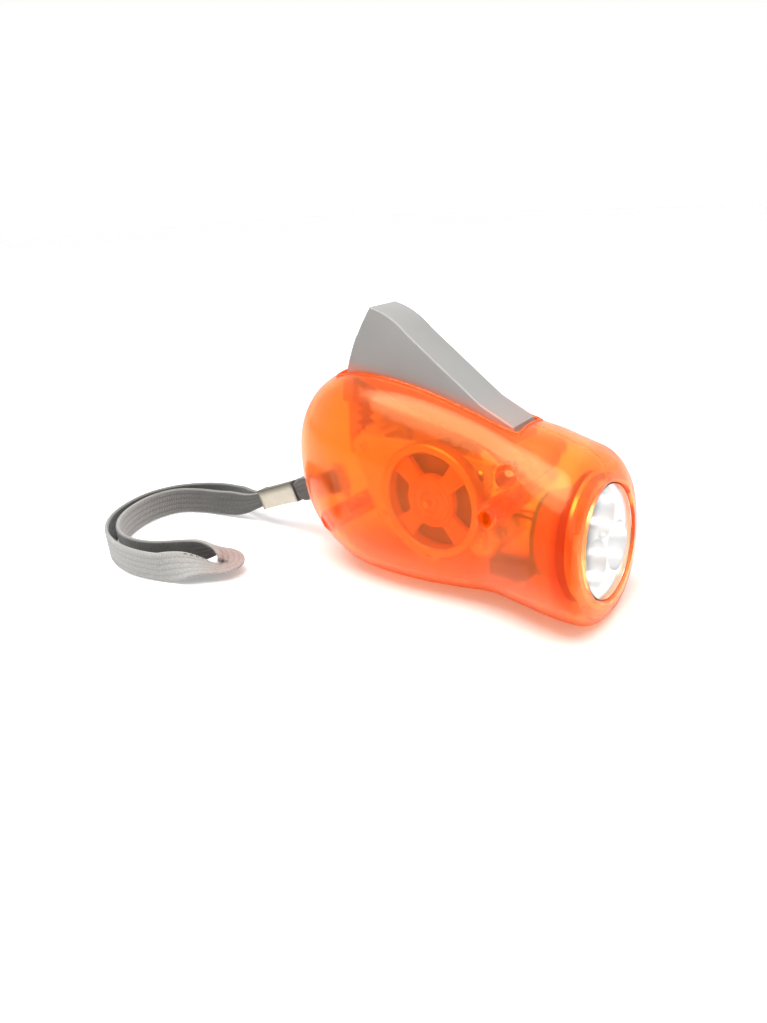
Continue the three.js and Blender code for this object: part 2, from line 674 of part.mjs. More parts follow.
function squeezeLever() {
  const half = leverWidth / 2;
  const inner = half - leverWall;
  const under = pivotZ - leverRadius;
  const channel = leverRoof(leverWall, 0);
  const side = outline([...leverRoof(0, leverNoseEndDegrees * degrees), [skirtFrontX, skirtFrontZ]]);
  let form = slab(side, [-half, half]);
  const hollow = outline([...channel, [channel.at(-1)[0], under], [channel[0][0], under]]);
  form = form.subtract(slab(hollow, [-inner, inner]));
  const arcTip = arcRadius + dedendumShare * arcModule;
  const arcLow = meshAngle + arcReachDegrees * degrees;
  const arcHigh = meshAngle - (leverTravelDegrees + arcReachDegrees) * degrees;
  const skirtAngle = (leverTopAngleDegrees + leverTravelDegrees / 2) * degrees;
  const band = (from, to, inside) => outline([...arcPoints(pivot, leverRadius, from, to, rimSteps),
    ...arcPoints(pivot, inside, to, from, rimSteps)]);
  const inside = arcRadius - arcFootShare * arcModule;
  const space = gearSlab(pivot, {
    module: arcModule, teeth: arcTeeth, phase: meshAngle, addendum: dedendumShare, dedendum: addendumShare,
    play: -backlashShare,
  }, farY);
  const toothed = slab(band(arcHigh, arcLow, inside), [-arcWidth / 2, arcWidth / 2]).subtract(space);
  const rim = slab(band(skirtAngle, arcLow, arcTip), [-arcWidth / 2, arcWidth / 2]);
  const lugAngle = Math.PI - Math.asin((stopLugFootZ - pivotZ) / leverRadius);
  const rearWall = slab(band(skirtAngle, lugAngle, arcTip), [-half, half]);
  const lugHalf = half + slotGap + stopLugReach;
  const lugs = slab(band(skirtAngle, Math.PI, arcTip), [-lugHalf, lugHalf])
    .intersect(block([0, span], farY, [stopLugFootZ, stopLugFootZ + stopLugHeight]))
    .intersect(innerForm.translate([0, 0, -slotRibDepth - seatGap]));
  [toothed, rim, rearWall, lugs].forEach((more) => {
    form = form.add(more);
  });
  const noseBoss = pivotPinRadius + leverWall;
  const springHalf = (springTurns + 0.5) * springPitch / 2 + springWireRadius + seatGap;
  [[-half, -springHalf], [springHalf, half]].forEach((y) => {
    form = form.add(rod(pivot, noseBoss, y));
  });
  return form.subtract(rod(pivot, pivotPinRadius + axleGap, farY));
}

// One-way input: a pinion with a ratchet wheel, inside the pawls of the large drive gear
const pinionHalf = arcWidth / 2;
function drivePinion() {
  const teeth = gearSlab(drive, { module: arcModule, teeth: arcPinionTeeth, phase: meshAngle },
    [-pinionHalf, pinionHalf]);
  const sleeve = rod(drive, hubRadius, [0, driveGearY + driveGearWidth]);
  const saw = [];
  for (let k = 0; k < ratchetTeeth; k += 1) {
    const from = 2 * Math.PI * k / ratchetTeeth;
    saw.push(polar(drive, ratchetRadius - ratchetToothDepth, from), polar(drive, ratchetRadius, from));
  }
  const ratchet = slab(outline(saw), [driveGearY, driveGearY + driveGearWidth]);
  return teeth.add(sleeve).add(ratchet).subtract(rod(drive, axleRadius + axleGap, farY));
}

function driveGear() {
  const y = [driveGearY, driveGearY + driveGearWidth];
  const webEnd = y[1] + seatGap + driveWebWidth;
  let form = gearSlab(drive, { module: firstModule, teeth: driveTeeth, phase: secondAngle }, y);
  form = form.subtract(rod(drive, pawlRingRadius, farY, discSides));
  for (let k = 0; k < pawlCount; k += 1) {
    const from = 2 * Math.PI * k / pawlCount;
    const tip = ratchetRadius + seatGap;
    const ring = pawlRingRadius + pawlWidth;
    const pawl = outline([polar(drive, ring, from), polar(drive, ring, from + pawlRootTurn),
      polar(drive, tip + pawlWidth, from + pawlBackTurn), polar(drive, tip, from + pawlTipTurn),
      polar(drive, tip + pawlBellyDepth, from + pawlBellyTurn)]);
    form = form.add(slab(pawl, y));
  }
  const web = rod(drive, pawlRingRadius + pawlWidth, [y[1] + seatGap, webEnd], discSides);
  const lip = rod(drive, pawlRingRadius + pawlWidth, [y[1] - seatGap, y[1] + seatGap * 2], discSides)
    .subtract(rod(drive, pawlRingRadius, farY, discSides));
  const hub = rod(drive, hubRadius + axleGap, [y[1] + seatGap, gearStackEnd - seatGap]);
  return form.add(lip).add(web).add(hub).subtract(rod(drive, axleRadius + axleGap, farY));
}

// Compound gear between the drive gear and the rotor
function secondGear() {
  const pinionPhase = secondAngle + Math.PI + Math.PI / secondPinionTeeth;
  const pinion = gearSlab(second, { module: firstModule, teeth: secondPinionTeeth, phase: pinionPhase },
    [driveGearY - seatGap, secondGearY + seatGap]);
  const y = [secondGearY + axleGap, secondGearY + axleGap + secondGearWidth];
  const wheel = gearSlab(second, { module: lastModule, teeth: secondTeeth, phase: lastAngle }, y);
  const faceY = y[1] - secondFaceDepth;
  const face = turned(second, [[secondFaceInner, faceY], [secondFaceOuter, faceY],
    [secondFaceOuter, y[1] + overrun], [secondFaceInner, y[1] + overrun], [secondFaceInner, faceY]]);
  return wheel.subtract(face).add(pinion).subtract(rod(second, axleRadius + axleGap, farY));
}

function rotorPinion() {
  const phase = lastAngle + Math.PI + Math.PI / rotorPinionTeeth;
  const y = [secondGearY - seatGap, secondGearY + secondGearWidth + seatGap];
  return gearSlab(rotor, { module: lastModule, teeth: rotorPinionTeeth, phase }, y)
    .subtract(rod(rotor, rotorShaftRadius + axleGap, farY));
}

// Flywheel with four flared spokes, a stepped hub and a heavy rim
function flywheel() {
  const [outerY, innerY] = [flywheelInnerY - flywheelWidth, flywheelInnerY];
  const webOut = innerY - (flywheelWidth - flywheelWebWidth) / 2;
  const webIn = webOut - flywheelWebWidth;
  const rimInner = flywheelRadius - flywheelRimWidth;
  const bossStep = (flywheelHubRadius + flywheelBossRadius) / 2;
  let form = turned(rotor, [[0, innerY], [flywheelHubRadius, innerY], [flywheelHubRadius, webOut],
    [rimInner, webOut], [rimInner, innerY], [flywheelRadius, innerY], [flywheelRadius, outerY],
    [rimInner, outerY], [rimInner, webIn], [flywheelHubRadius, webIn], [bossStep, (webIn + outerY) / 2],
    [flywheelBossRadius, outerY], [0, outerY]], wheelSides);
  for (let k = 0; k < spokeCount; k += 1) {
    const middle = (2 * k + 1) * Math.PI / spokeCount + Math.PI / spokeCount;
    const wide = spokeOpeningHalfDegrees * degrees;
    const far = arcPoints(rotor, rimInner - axleGap, middle - wide, middle + wide, spokeOuterSteps);
    const near = arcPoints(rotor, spokeOpeningInner, middle + wide, middle - wide, spokeInnerSteps);
    form = form.subtract(slab(outline([...far, ...near]), farY));
  }
  return form.subtract(rod(rotor, rotorShaftRadius + axleGap, farY));
}

// Generator: claw frames, bobbin and winding around the ring magnet
const statorFrontY = plateInnerY + seatGap;
const statorBackY = statorFrontY + statorLength;
function clawFrame(front) {
  const middle = (statorFrontY + statorBackY) / 2;
  const end = front ? statorFrontY : statorBackY;
  const inward = front ? 1 : -1;
  const sheet = [end, end + inward * clawSheet];
  const split = middle - inward * seatGap / 2;
  const tip = (front ? statorBackY : statorFrontY) - inward * (clawSheet + seatGap * 2);
  const canInner = clawRadius - clawSheet;
  let form = turned(rotor, [[clawBore, sheet[0]], [clawRadius, sheet[0]], [clawRadius, split],
    [canInner, split], [canInner, sheet[1]], [clawBore, sheet[1]], [clawBore, sheet[0]]], coreSides);
  for (let k = 0; k < clawCount; k += 1) {
    const at = 2 * Math.PI * k / clawCount + (front ? 0 : Math.PI / clawCount);
    const wide = clawHalfAngleDegrees * degrees;
    const claw = outline([...arcPoints(rotor, clawBore + clawSheet, at - wide, at + wide, clawSteps),
      ...arcPoints(rotor, clawBore, at + wide, at - wide, clawSteps)]);
    form = form.add(slab(claw, [Math.min(sheet[0], tip), Math.max(sheet[0], tip)]));
  }
  return form;
}

const bobbinY = [statorFrontY + clawSheet + seatGap, statorBackY - clawSheet - seatGap];
function coilBobbin() {
  const barrel = bobbinInner + bobbinSheet;
  const [low, high] = [bobbinY[0] + bobbinSheet, bobbinY[1] - bobbinSheet];
  return turned(rotor, [[bobbinInner, bobbinY[0]], [bobbinOuter, bobbinY[0]], [bobbinOuter, low],
    [barrel, low], [barrel, high], [bobbinOuter, high], [bobbinOuter, bobbinY[1]],
    [bobbinInner, bobbinY[1]], [bobbinInner, bobbinY[0]]], coreSides);
}

function coilWinding() {
  const inside = bobbinInner + bobbinSheet + axleGap;
  const outside = bobbinOuter - seatGap;
  const y = [bobbinY[0] + bobbinSheet + axleGap, bobbinY[1] - bobbinSheet - axleGap];
  return turned(rotor, [[inside, y[0]], [outside, y[0] + seatGap], [outside, y[1] - seatGap],
    [inside, y[1]], [inside, y[0]]], coreSides);
}

function rotorMagnet() {
  const y = [statorFrontY + runGap, statorFrontY + runGap + magnetLength];
  return rod(rotor, magnetRadius, y, coreSides).subtract(rod(rotor, rotorShaftRadius + axleGap, farY));
}

// Plate behind the flywheel: a skin round its axles and posts
function gearPlate() {
  const places = [drive, second, postPlaces.front, rotor, postPlaces.belly, postPlaces.low];
  const y = [plateOuterY, plateInnerY];
  let form = rod(places[0], plateEdge, y);
  places.forEach((place, i) => {
    const next = places[(i + 1) % places.length];
    const along = Math.atan2(next[1] - place[1], next[0] - place[0]) + Math.PI / 2;
    const link = outline([polar(place, plateEdge, along), polar(place, -plateEdge, along),
      polar(next, -plateEdge, along), polar(next, plateEdge, along)]);
    form = form.add(rod(place, plateEdge, y)).add(slab(link, y));
  });
  form = form.add(slab(outline(places), y));
  [[drive, axleRadius], [second, axleRadius], [rotor, rotorShaftRadius]].forEach(([place, radius]) => {
    form = form.subtract(rod(place, radius + axleGap, farY));
  });
  Object.values(postPlaces).forEach((place) => {
    form = form.subtract(rod(place, postScrewRadius + axleGap, farY, screwSides));
  });
  return form;
}

function crossSlot(radius, y, place) {
  const [deep, wide] = [radius * crossLengthShare, radius * crossWidthShare];
  const arm = block([place[0] - deep, place[0] + deep], y, [place[1] - wide, place[1] + wide]);
  const other = block([place[0] - wide, place[0] + wide], y, [place[1] - deep, place[1] + deep]);
  return arm.add(other);
}

function postScrew(place) {
  const under = plateOuterY - axleGap;
  const top = under - postScrewHeadHeight;
  const end = plateInnerY + postScrewLength;
  const form = turned(place, [[0, top], [postScrewHeadRadius * screwTopShare, top],
    [postScrewHeadRadius, under], [postScrewRadius, under], [postScrewRadius, end], [0, end]], screwSides);
  const slotY = [top - overrun, top + postScrewHeadHeight / 2];
  return form.subtract(crossSlot(postScrewHeadRadius, slotY, place));
}

function housingScrew(side, place) {
  const under = screwHeadY - screwHeadHeight - axleGap * 2;
  const y = (value) => side * value;
  const top = under + screwHeadHeight;
  const shoulder = under + screwHeadHeight / 2;
  const end = seatGap - screwDepth;
  const form = turned(place, [[0, y(top)], [screwHeadRadius * screwTopShare, y(top)],
    [screwHeadRadius, y(shoulder)], [screwHeadRadius, y(under + seatGap)],
    [screwShankRadius, y(under + seatGap)], [screwShankRadius, y(end)], [0, y(end)]], pinSides);
  const slotY = [y(shoulder), y(top + overrun)].sort((a, b) => a - b);
  return form.subtract(crossSlot(screwHeadRadius, slotY, place));
}

// Lamp head
function frontLens() {
  const front = wall + seatGap;
  return headTurned([[0, front - lensProud], [lensOpeningRadius - seatGap * 2, front - lensProud],
    [lensOpeningRadius - seatGap, front - lensProud + seatGap], [lensOpeningRadius - seatGap, front],
    [lensFlangeRadius, front], [lensFlangeRadius, lensBack], [0, lensBack]]);
}

const cupPlaces = Array.from({ length: cupCount }, (_, k) => {
  const at = Math.PI / 2 + 2 * Math.PI * k / cupCount;
  return [cupOffset * Math.cos(at), cupOffset * Math.sin(at)];
});

function reflector() {
  const back = flangeFront + reflectorDepth;
  let form = headTurned([[0, flangeFront], [lensFlangeRadius, flangeFront], [lensFlangeRadius, flangeBack],
    [reflectorRadius, flangeBack], [reflectorRearRadius, back], [0, back]]);
  cupPlaces.forEach(([across, up]) => {
    const hole = ledFlangeRadius + seatGap;
    const bowl = bowlShares.map((share) => {
      const radius = hole + (cupRadius - hole) * Math.sqrt(share);
      return new THREE.Vector2(radius, flangeFront + cupDepth * (1 - share));
    });
    const profile = [new THREE.Vector2(0, back + overrun), new THREE.Vector2(hole, back + overrun), ...bowl,
      new THREE.Vector2(cupRadius, flangeFront - overrun), new THREE.Vector2(0, flangeFront - overrun)];
    form = form.subtract(inHead(new THREE.LatheGeometry(profile, cupSides).translate(across, 0, up)));
  });
  return form;
}

const boardFront = flangeFront + reflectorDepth + seatGap;
function ledBoard() {
  return headTurned([[0, boardFront], [boardRadius, boardFront], [boardRadius, boardFront + boardThickness],
    [0, boardFront + boardThickness]], discSides);
}

function led([across, up]) {
  const base = boardFront - axleGap * 2;
  const shoulder = base - ledHeight + ledRadius;
  const dome = ledDomeShares.map((share) => {
    const turn = share * Math.PI / 2;
    return new THREE.Vector2(ledRadius * Math.cos(turn), shoulder - ledRadius * Math.sin(turn));
  });
  const flange = base - ledFlangeHeight;
  const profile = [new THREE.Vector2(0, base), new THREE.Vector2(ledFlangeRadius, base),
    new THREE.Vector2(ledFlangeRadius, flange), new THREE.Vector2(ledRadius, flange),
    new THREE.Vector2(ledRadius, shoulder), ...dome];
  profile[profile.length - 1].x = 0;
  return inHead(new THREE.LatheGeometry(profile, pinSides).translate(across, 0, up));
}

// Button cells in their cradle, with a contact tab at each end
function cell(index) {
  const y = -cellStack / 2 + index * (cellHeight + seatGap);
  const top = y + cellHeight;
  return turned([cellX, cellZ], [[0, y], [cellRadius - cellEdge, y], [cellRadius, y + cellEdge],
    [cellRadius, top - cellEdge], [cellRadius - cellEdge, top], [0, top]], coreSides);
}

function cellTab(side) {
  const near = side * (cellStack / 2 + seatGap);
  const y = [near, near + side * tabSheet].sort((a, b) => a - b);
  return block([cellX - tabWidth / 2, cellX + tabWidth / 2], y, [cellZ - tabWidth / 2, cellZ + cellRadius]);
}

function switchBody() {
  const { x, y, z } = switchBodySize;
  return block([switchX - x / 2, switchX + x / 2], [-y / 2, y / 2], [switchBodyZ, switchBodyZ + z]);
}

function switchSlider() {
  const { x, y, z } = switchCarrierSize;
  const knobX = [knobRear, knobRear + switchKnobSize.x];
  const middle = (knobX[0] + knobX[1]) / 2;
  const halfY = switchKnobSize.y / 2;
  let form = block(knobX, [-halfY, halfY], [switchKnobFootZ, carrierZ + z / 2]);
  for (let k = 0; k < switchGrooves; k += 1) {
    const at = knobX[0] + switchKnobSize.x * (k + 1) / (switchGrooves + 1);
    form = form.subtract(block([at - switchGrooveDepth / 2, at + switchGrooveDepth / 2], farY,
      [-overrun, switchKnobFootZ + switchGrooveDepth]));
  }
  return form.add(block([middle - x / 2, middle + x / 2], [-y / 2, y / 2], [carrierZ, carrierZ + z]));
}

// Torsion spring: one leg along the lever's roof, the other on its rest in the right shell
function returnSpring() {
  const startAngle = springUpperDegrees * degrees - Math.PI / 2;
  const [toBossX, toBossZ] = [frontScrew[0] - pivotX, frontScrew[1] - pivotZ];
  const reach = springCoilRadius + springWireRadius + seatGap + screwBossRadius;
  const seatAngle = Math.atan2(toBossZ, toBossX) + Math.acos(reach / Math.hypot(toBossX, toBossZ));
  const endAngle = seatAngle - 2 * Math.PI * springTurns;
  const steps = Math.round((startAngle - endAngle) / 2 / Math.PI * springStepsPerTurn);
  const coilLength = springPitch * (startAngle - endAngle) / 2 / Math.PI;
  const coil = Array.from({ length: steps + 1 }, (_, i) => {
    const [x, z] = polar(pivot, springCoilRadius, startAngle + (endAngle - startAngle) * i / steps);
    return new THREE.Vector3(x, coilLength / 2 - coilLength * i / steps, z);
  });
  const bend = polar([coil[0].x, coil[0].z], springUpperStraight, startAngle + Math.PI / 2);
  const legStart = polar(bend, springUpperLeg, springBendDegrees * degrees);
  const legEnd = polar([coil.at(-1).x, coil.at(-1).z], springLowerLeg, endAngle - Math.PI / 2);
  const at = ([x, z], turn) => new THREE.Vector3(x, turn.y, z);
  const path = [at(legStart, coil[0]), at(bend, coil[0]), ...coil, at(legEnd, coil.at(-1))];
  return tube(path, springWireRadius, springWireSides);
}

// Tube through points with its rings square to the path
function tube(points, radius, sides) {
  const tangent = points.map((_, i) => points[Math.min(i + 1, points.length - 1)].clone()
    .sub(points[Math.max(i - 1, 0)]).normalize());
  let normal = new THREE.Vector3(0, 1, 0).cross(tangent[0]).normalize();
  const rings = points.map((point, i) => {
    normal = normal.clone().addScaledVector(tangent[i], -normal.dot(tangent[i])).normalize();
    const across = tangent[i].clone().cross(normal);
    return Array.from({ length: sides }, (_, k) => {
      const turn = 2 * Math.PI * k / sides;
      return point.clone().addScaledVector(normal, radius * Math.cos(turn))
        .addScaledVector(across, radius * Math.sin(turn));
    });
  });
  return loft(rings, points[0].clone());
}

function lead(points) {
  const curve = new THREE.CatmullRomCurve3(points.map(([x, y, z]) => new THREE.Vector3(x, y, z)));
  return tube(curve.getSpacedPoints(leadSteps), leadRadius, leadSides);
}

// Wrist strap: tail round the post, crimp, then the doubled loop on the table
const crimpStart = strapTailLength - crimpInset;
const crimpEnd = crimpStart + crimpLength;
const hollowHalfY = tailHalf + axleGap * 2;
const hollowHalfZ = crimpHeight / 2 - crimpWall;
const tongueHalf = hollowHalfZ - axleGap * 2;
function strapTail() {
  const bend = strapPostRadius + axleGap * 3;
  const outerBend = bend + strapThickness;
  const end = strapTailLength;
  const runHalf = tailHalf - strapThickness;
  const halfRound = [Math.PI / 2, Math.PI * 1.5];
  const outside = arcPoints([postX, 0], outerBend, ...halfRound, arcSteps);
  const inside = arcPoints([postX, 0], bend, ...halfRound.reverse(), arcSteps);
  const shape = outline([[end, tailHalf], [-strapTailParallel, tailHalf], ...outside,
    [-strapTailParallel, -tailHalf], [end, -tailHalf], [end, -runHalf], [-strapTailParallel, -runHalf],
    ...inside, [-strapTailParallel, runHalf], [end, runHalf]]);
  const band = new THREE.ExtrudeGeometry(shape, { depth: strapTailWidth, bevelEnabled: false });
  const half = strapTailWidth / 2;
  const rear = postX - outerBend * 2;
  const neck = crimpStart - half + tongueHalf;
  const face = outline([[rear, half], [neck, half], [crimpStart, tongueHalf], [end * 2, tongueHalf],
    [end * 2, -tongueHalf], [crimpStart, -tongueHalf], [neck, -half], [rear, -half]]);
  const gather = new THREE.ExtrudeGeometry(face, { depth: half * 2, bevelEnabled: false });
  return inStrap(band.translate(0, 0, -half))
    .intersect(inStrap(gather.translate(0, 0, -half).rotateX(Math.PI / 2)));
}

function strapCrimp() {
  const [halfY, halfZ] = [crimpThickness / 2, crimpHeight / 2];
  const past = [crimpStart - overrun, crimpEnd + overrun];
  let form = strapBlock([crimpStart, crimpEnd], [-halfY, halfY], [-halfZ, halfZ]);
  form = form.subtract(strapBlock(past, [-hollowHalfY, hollowHalfY], [-hollowHalfZ, hollowHalfZ]));
  const middle = (crimpStart + crimpEnd) / 2;
  [-1, 1].forEach((side) => {
    const y = [side * (halfY - crimpPinchDepth), side * (halfY + overrun)].sort((a, b) => a - b);
    form = form.subtract(strapBlock([middle - crimpWall, middle + crimpWall], y, [-halfZ / 2, halfZ / 2]));
  });
  return form;
}

function strapPost() {
  const half = shelfInner + strapPostReach;
  return inStrap(new THREE.CylinderGeometry(strapPostRadius, strapPostRadius, half * 2, pinSides)
    .rotateX(Math.PI / 2).translate(postX, 0, 0));
}

// Route of the free strap, chosen by hand: out of the crimp, round on the table and back into it
const strapRoute = [[-22.6, 1, 13.3], [-31, 1.1, 10.1], [-39, 2.6, 7.2], [-48, 4.2, 5.6], [-57, 3.6, 5.3],
  [-66, -0.4, 5.3], [-73.4, -7.4, 5.3], [-76.8, -17, 5.3], [-75.4, -28, 5.3], [-70, -38.4, 5.3],
  [-60.6, -46.8, 5.3], [-49, -51.4, 5.3], [-37, -52.4, 5.3], [-26, -50.2, 5.3], [-16, -45.6, 5.3],
  [-8.6, -39.6, 5.3], [-7.4, -34.6, 5.3], [-12.4, -32.8, 5.3], [-20, -34.6, 5.3], [-28, -39.6, 5.3],
  [-36.5, -45.2, 5.3], [-46, -47.2, 5.3], [-56.5, -44.8, 5.3], [-66, -37.4, 5.3], [-71.6, -27.4, 5.3],
  [-73, -17.4, 5.3], [-69.8, -9.8, 5.3], [-61.6, -5.4, 5.3], [-51, -3.2, 5.6], [-40, -1.7, 7],
  [-31, -1.1, 10.1], [-22.6, -1, 13.3]];

function wristStrap() {
  const route = strapRoute.map(([x, y, z]) => new THREE.Vector3(x, y, z).multiplyScalar(unit));
  const curve = new THREE.CatmullRomCurve3(route);
  const points = curve.getSpacedPoints(strapSteps);
  const length = curve.getLength();
  const [thin, edge] = [strapThickness / 2, strapThickness / 4];
  const rings = points.map((point, i) => {
    const fromEnd = Math.min(i, strapSteps - i) / strapSteps * length;
    const flareShare = Math.min(Math.max((fromEnd - strapInsideLength) / strapFlareLength, 0), 1);
    const flare = Math.sin(flareShare * Math.PI / 2);
    const tall = tongueHalf + (strapWidth / 2 - tongueHalf) * flare ** 2;
    const section = [[thin, edge - tall], [thin, tall - edge], [thin - edge, tall], [edge - thin, tall],
      [-thin, tall - edge], [-thin, edge - tall], [edge - thin, -tall], [thin - edge, -tall]];
    const along = points[Math.min(i + 1, strapSteps)].clone().sub(points[Math.max(i - 1, 0)]).normalize();
    const across = new THREE.Vector3(0, 0, 1).cross(along).normalize();
    const up = along.clone().cross(across);
    return section.map(([a, b]) => point.clone().addScaledVector(across, a).addScaledVector(up, b));
  });
  return loft(rings, points[0].clone());
}

// Assembly
const flashlight = new THREE.Group();
flashlight.name = 'flashlight';

function piece(name, form, material) {
  const { vertProperties, triVerts } = form.getMesh();
  const geometry = new THREE.BufferGeometry();
  geometry.setAttribute('position', new THREE.BufferAttribute(vertProperties, 3));
  geometry.setIndex(new THREE.BufferAttribute(triVerts, 1));
  geometry.computeVertexNormals();
  const mesh = new THREE.Mesh(geometry, material);
  mesh.name = name;
  flashlight.add(mesh);
  return mesh;
}

const axleY = [plateOuterY, axleEnd];
piece('right_shell', rightShell(), orangeClear);
piece('left_shell', leftShell(), orangeClear);
piece('front_screw', housingScrew(-1, frontScrew), steel);
piece('rear_screw', housingScrew(1, rearScrew), steel);

piece('squeeze_lever', squeezeLever(), greyPlastic);
piece('lever_pin', rod(pivot, pivotPinRadius, [-pinEnd, pinEnd]), steel);
piece('drive_pinion', drivePinion(), whitePlastic);
piece('drive_gear', driveGear(), whitePlastic);
piece('drive_axle', rod(drive, axleRadius, axleY), steel);
piece('second_gear', secondGear(), whitePlastic);
piece('second_axle', rod(second, axleRadius, axleY), steel);

piece('flywheel', flywheel(), whitePlastic);
const shaftStart = flywheelInnerY - flywheelWidth - wall + seatGap;
piece('rotor_shaft', rod(rotor, rotorShaftRadius, [shaftStart, axleEnd]), steel);
piece('rotor_pinion', rotorPinion(), whitePlastic);
piece('rotor_magnet', rotorMagnet(), darkPlastic);
piece('claw_frame_front', clawFrame(true), steel);
piece('claw_frame_back', clawFrame(false), steel);
piece('coil_bobbin', coilBobbin(), whitePlastic);
piece('coil_winding', coilWinding(), copper);
piece('gear_plate', gearPlate(), darkPlastic);
Object.entries(postPlaces).forEach(([name, place]) => {
  piece(`plate_screw_${name}`, postScrew(place), steel);
});

piece('front_lens', frontLens(), lensClear);
piece('reflector', reflector(), chrome);
piece('led_board', ledBoard(), boardGreen);
cupPlaces.forEach((place, k) => piece(`led_${k + 1}`, led(place), ledClear));

for (let k = 0; k < cellCount; k += 1) piece(`cell_${k + 1}`, cell(k), steel);
piece('cell_tab_right', cellTab(-1), steel);
piece('cell_tab_left', cellTab(1), steel);
piece('switch_body', switchBody(), darkPlastic);
piece('switch_slider', switchSlider(), greyPlastic);

piece('return_spring', returnSpring(), steel);
const coilGap = springPitch - 2 * springWireRadius;
console.log(`return spring: least gap between turns ${coilGap.toFixed(2)} mm over ${springTurns} turns`);

const leadTop = cellZ + cellRadius + leadRadius + seatGap * 2;
const boardBack = bodyLength - (boardFront + boardThickness + seatGap * 2 + leadRadius);
const clawEdge = rotorX + clawRadius + leadRadius;
[-1, 1].forEach((side, k) => {
  const y = side * leadOffset;
  const color = side < 0 ? darkPlastic : webbing;
  piece(`coil_lead_${k + 1}`, lead([[clawEdge, y, leadTop], [cellX, y, leadTop],
    [frontScrew[0], y, leadTop], [boardBack, side * coilLeadEndOffset, leadTop - leadRadius]]), color);
  const low = switchBodyZ + switchBodySize.z + leadRadius + seatGap;
  piece(`switch_lead_${k + 1}`, lead([[switchX, y, low],
    [switchX + switchBodySize.x / 2, y, low + leadRadius],
    [boardBack, side * switchLeadEndOffset, lensHeight - boardRadius / 2]]), color);
});

piece('strap_post', strapPost(), steel);
piece('strap_tail', strapTail(), webbing);
piece('strap_crimp', strapCrimp(), steel);
piece('wrist_strap', wristStrap(), webbing);

const housingBox = new THREE.Box3();
flashlight.children.filter((mesh) => mesh.name.endsWith('_shell')).forEach((mesh) => {
  housingBox.expandByObject(mesh);
});
flashlight.position.x = -(housingBox.min.x + housingBox.max.x) / 2;

const shift = ([x, z]) => [x + flashlight.position.x, z].map((value) => value.toFixed(3)).join(', ');
console.log(`x shift ${flashlight.position.x.toFixed(3)}, pivot ${shift(pivot)}, drive ${shift(drive)}, `
  + `second ${shift(second)}, rotor ${shift(rotor)}`);

export default flashlight;
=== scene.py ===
# Looks of the squeeze-lever dynamo flashlight: a clear orange housing over its gears
# and flywheel, a grey lever, a lamp head and a webbing wrist strap. Metres, +Z up.
import json
import math

import bmesh
import bpy
from mathutils import Matrix, Vector


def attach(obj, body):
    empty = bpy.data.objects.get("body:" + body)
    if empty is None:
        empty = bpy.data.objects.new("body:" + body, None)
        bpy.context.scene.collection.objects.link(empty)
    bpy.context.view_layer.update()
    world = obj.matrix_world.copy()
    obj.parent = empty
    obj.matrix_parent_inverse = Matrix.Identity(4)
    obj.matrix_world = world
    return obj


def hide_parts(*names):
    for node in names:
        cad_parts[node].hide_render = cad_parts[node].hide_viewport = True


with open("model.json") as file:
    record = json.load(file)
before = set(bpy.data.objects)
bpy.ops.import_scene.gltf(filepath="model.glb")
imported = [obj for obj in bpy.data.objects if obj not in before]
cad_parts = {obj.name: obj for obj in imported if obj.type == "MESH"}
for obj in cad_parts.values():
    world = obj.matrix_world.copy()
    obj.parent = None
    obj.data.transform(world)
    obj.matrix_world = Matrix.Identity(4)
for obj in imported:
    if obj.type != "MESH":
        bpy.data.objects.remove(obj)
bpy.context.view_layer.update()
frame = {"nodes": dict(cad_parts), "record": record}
scene = bpy.context.scene
MM = 0.001


# Sizes, as in the solids: millimetres, with x from the rear end, and the teeth's angles in degrees
SHIFT_X = -54.794
BODY_LENGTH = 108
BODY_HEIGHT = 66.5
BODY_WIDTH = 45
DOME_LENGTH = 34
DOME_POWER = 2.4
FRONT_ROUND = 5.8
LEAN = math.radians(5)
LENS_HEIGHT = 24.2
WALL = 2
BACK_LINE = [(0, 0.975), (0.15, 0.995), (0.26, 1), (0.39, 0.984), (0.5, 0.951), (0.63, 0.892),
             (0.75, 0.832), (0.84, 0.806), (0.92, 0.769), (1, 0.727)]
BELLY_LINE = [(0, 0.03), (0.15, 0.018), (0.28, -0.006), (0.46, -0.0075), (0.59, 0.009),
              (0.71, 0.027), (0.8, 0.009), (0.88, -0.006), (0.955, -0.004), (1, 0.006)]
SIDE_LINE = [(0, 0.87), (0.11, 0.9), (0.26, 0.975), (0.39, 1), (0.52, 0.95), (0.63, 0.88),
             (0.71, 0.862), (0.8, 0.95), (0.88, 1.045), (0.945, 1.07), (1, 1.05)]
CORNER_POWER = [(0, 2.4), (0.7, 2.4), (0.88, 2.1), (1, 2.1)]
LEAN_LINE = [(0, 0), (0.72, 0), (0.81, 0.5), (0.9, 1), (1, 1)]
PIVOT = (84, 44.5)
ROTOR = (57.3, 31.4)
LEVER_HALF = 6.3
LEVER_RADIUS = 64.3
LEVER_WALL = 1.8
LEVER_ROUND = 0.45
LEVER_REAR_TOP = 64.4
LEVER_TOP_ANGLE = math.radians(141.1)
LEVER_CREST = (46.9, 77.9)
LEVER_SHOULDER = (70.6, 60.1)
LEVER_NOSE = (81, 54.9)
NOSE_RADIUS = 5.6
ARC_HALF = 3.4
ARC_INNER = 61.05
TOOTH_TIP = 59.2
TOOTH_STEP = 3
FIRST_TOOTH = 181
HUB_RADIUS = 3.3
HUB_INNER = 4.2
PIN_HOLE = 1.6
SLOT_REAR, SLOT_FRONT, SLOT_HALF = 19.2, 82.9, 6.8
SLOT_CORNER = 1.2
FRONT_SCREW = (79.4, 32.6)
REAR_SCREW = (19.3, 18.5)
SCREW_BOSS = 3.6
SCREW_HEAD = 2.3
SCREW_SEAT = 8.9
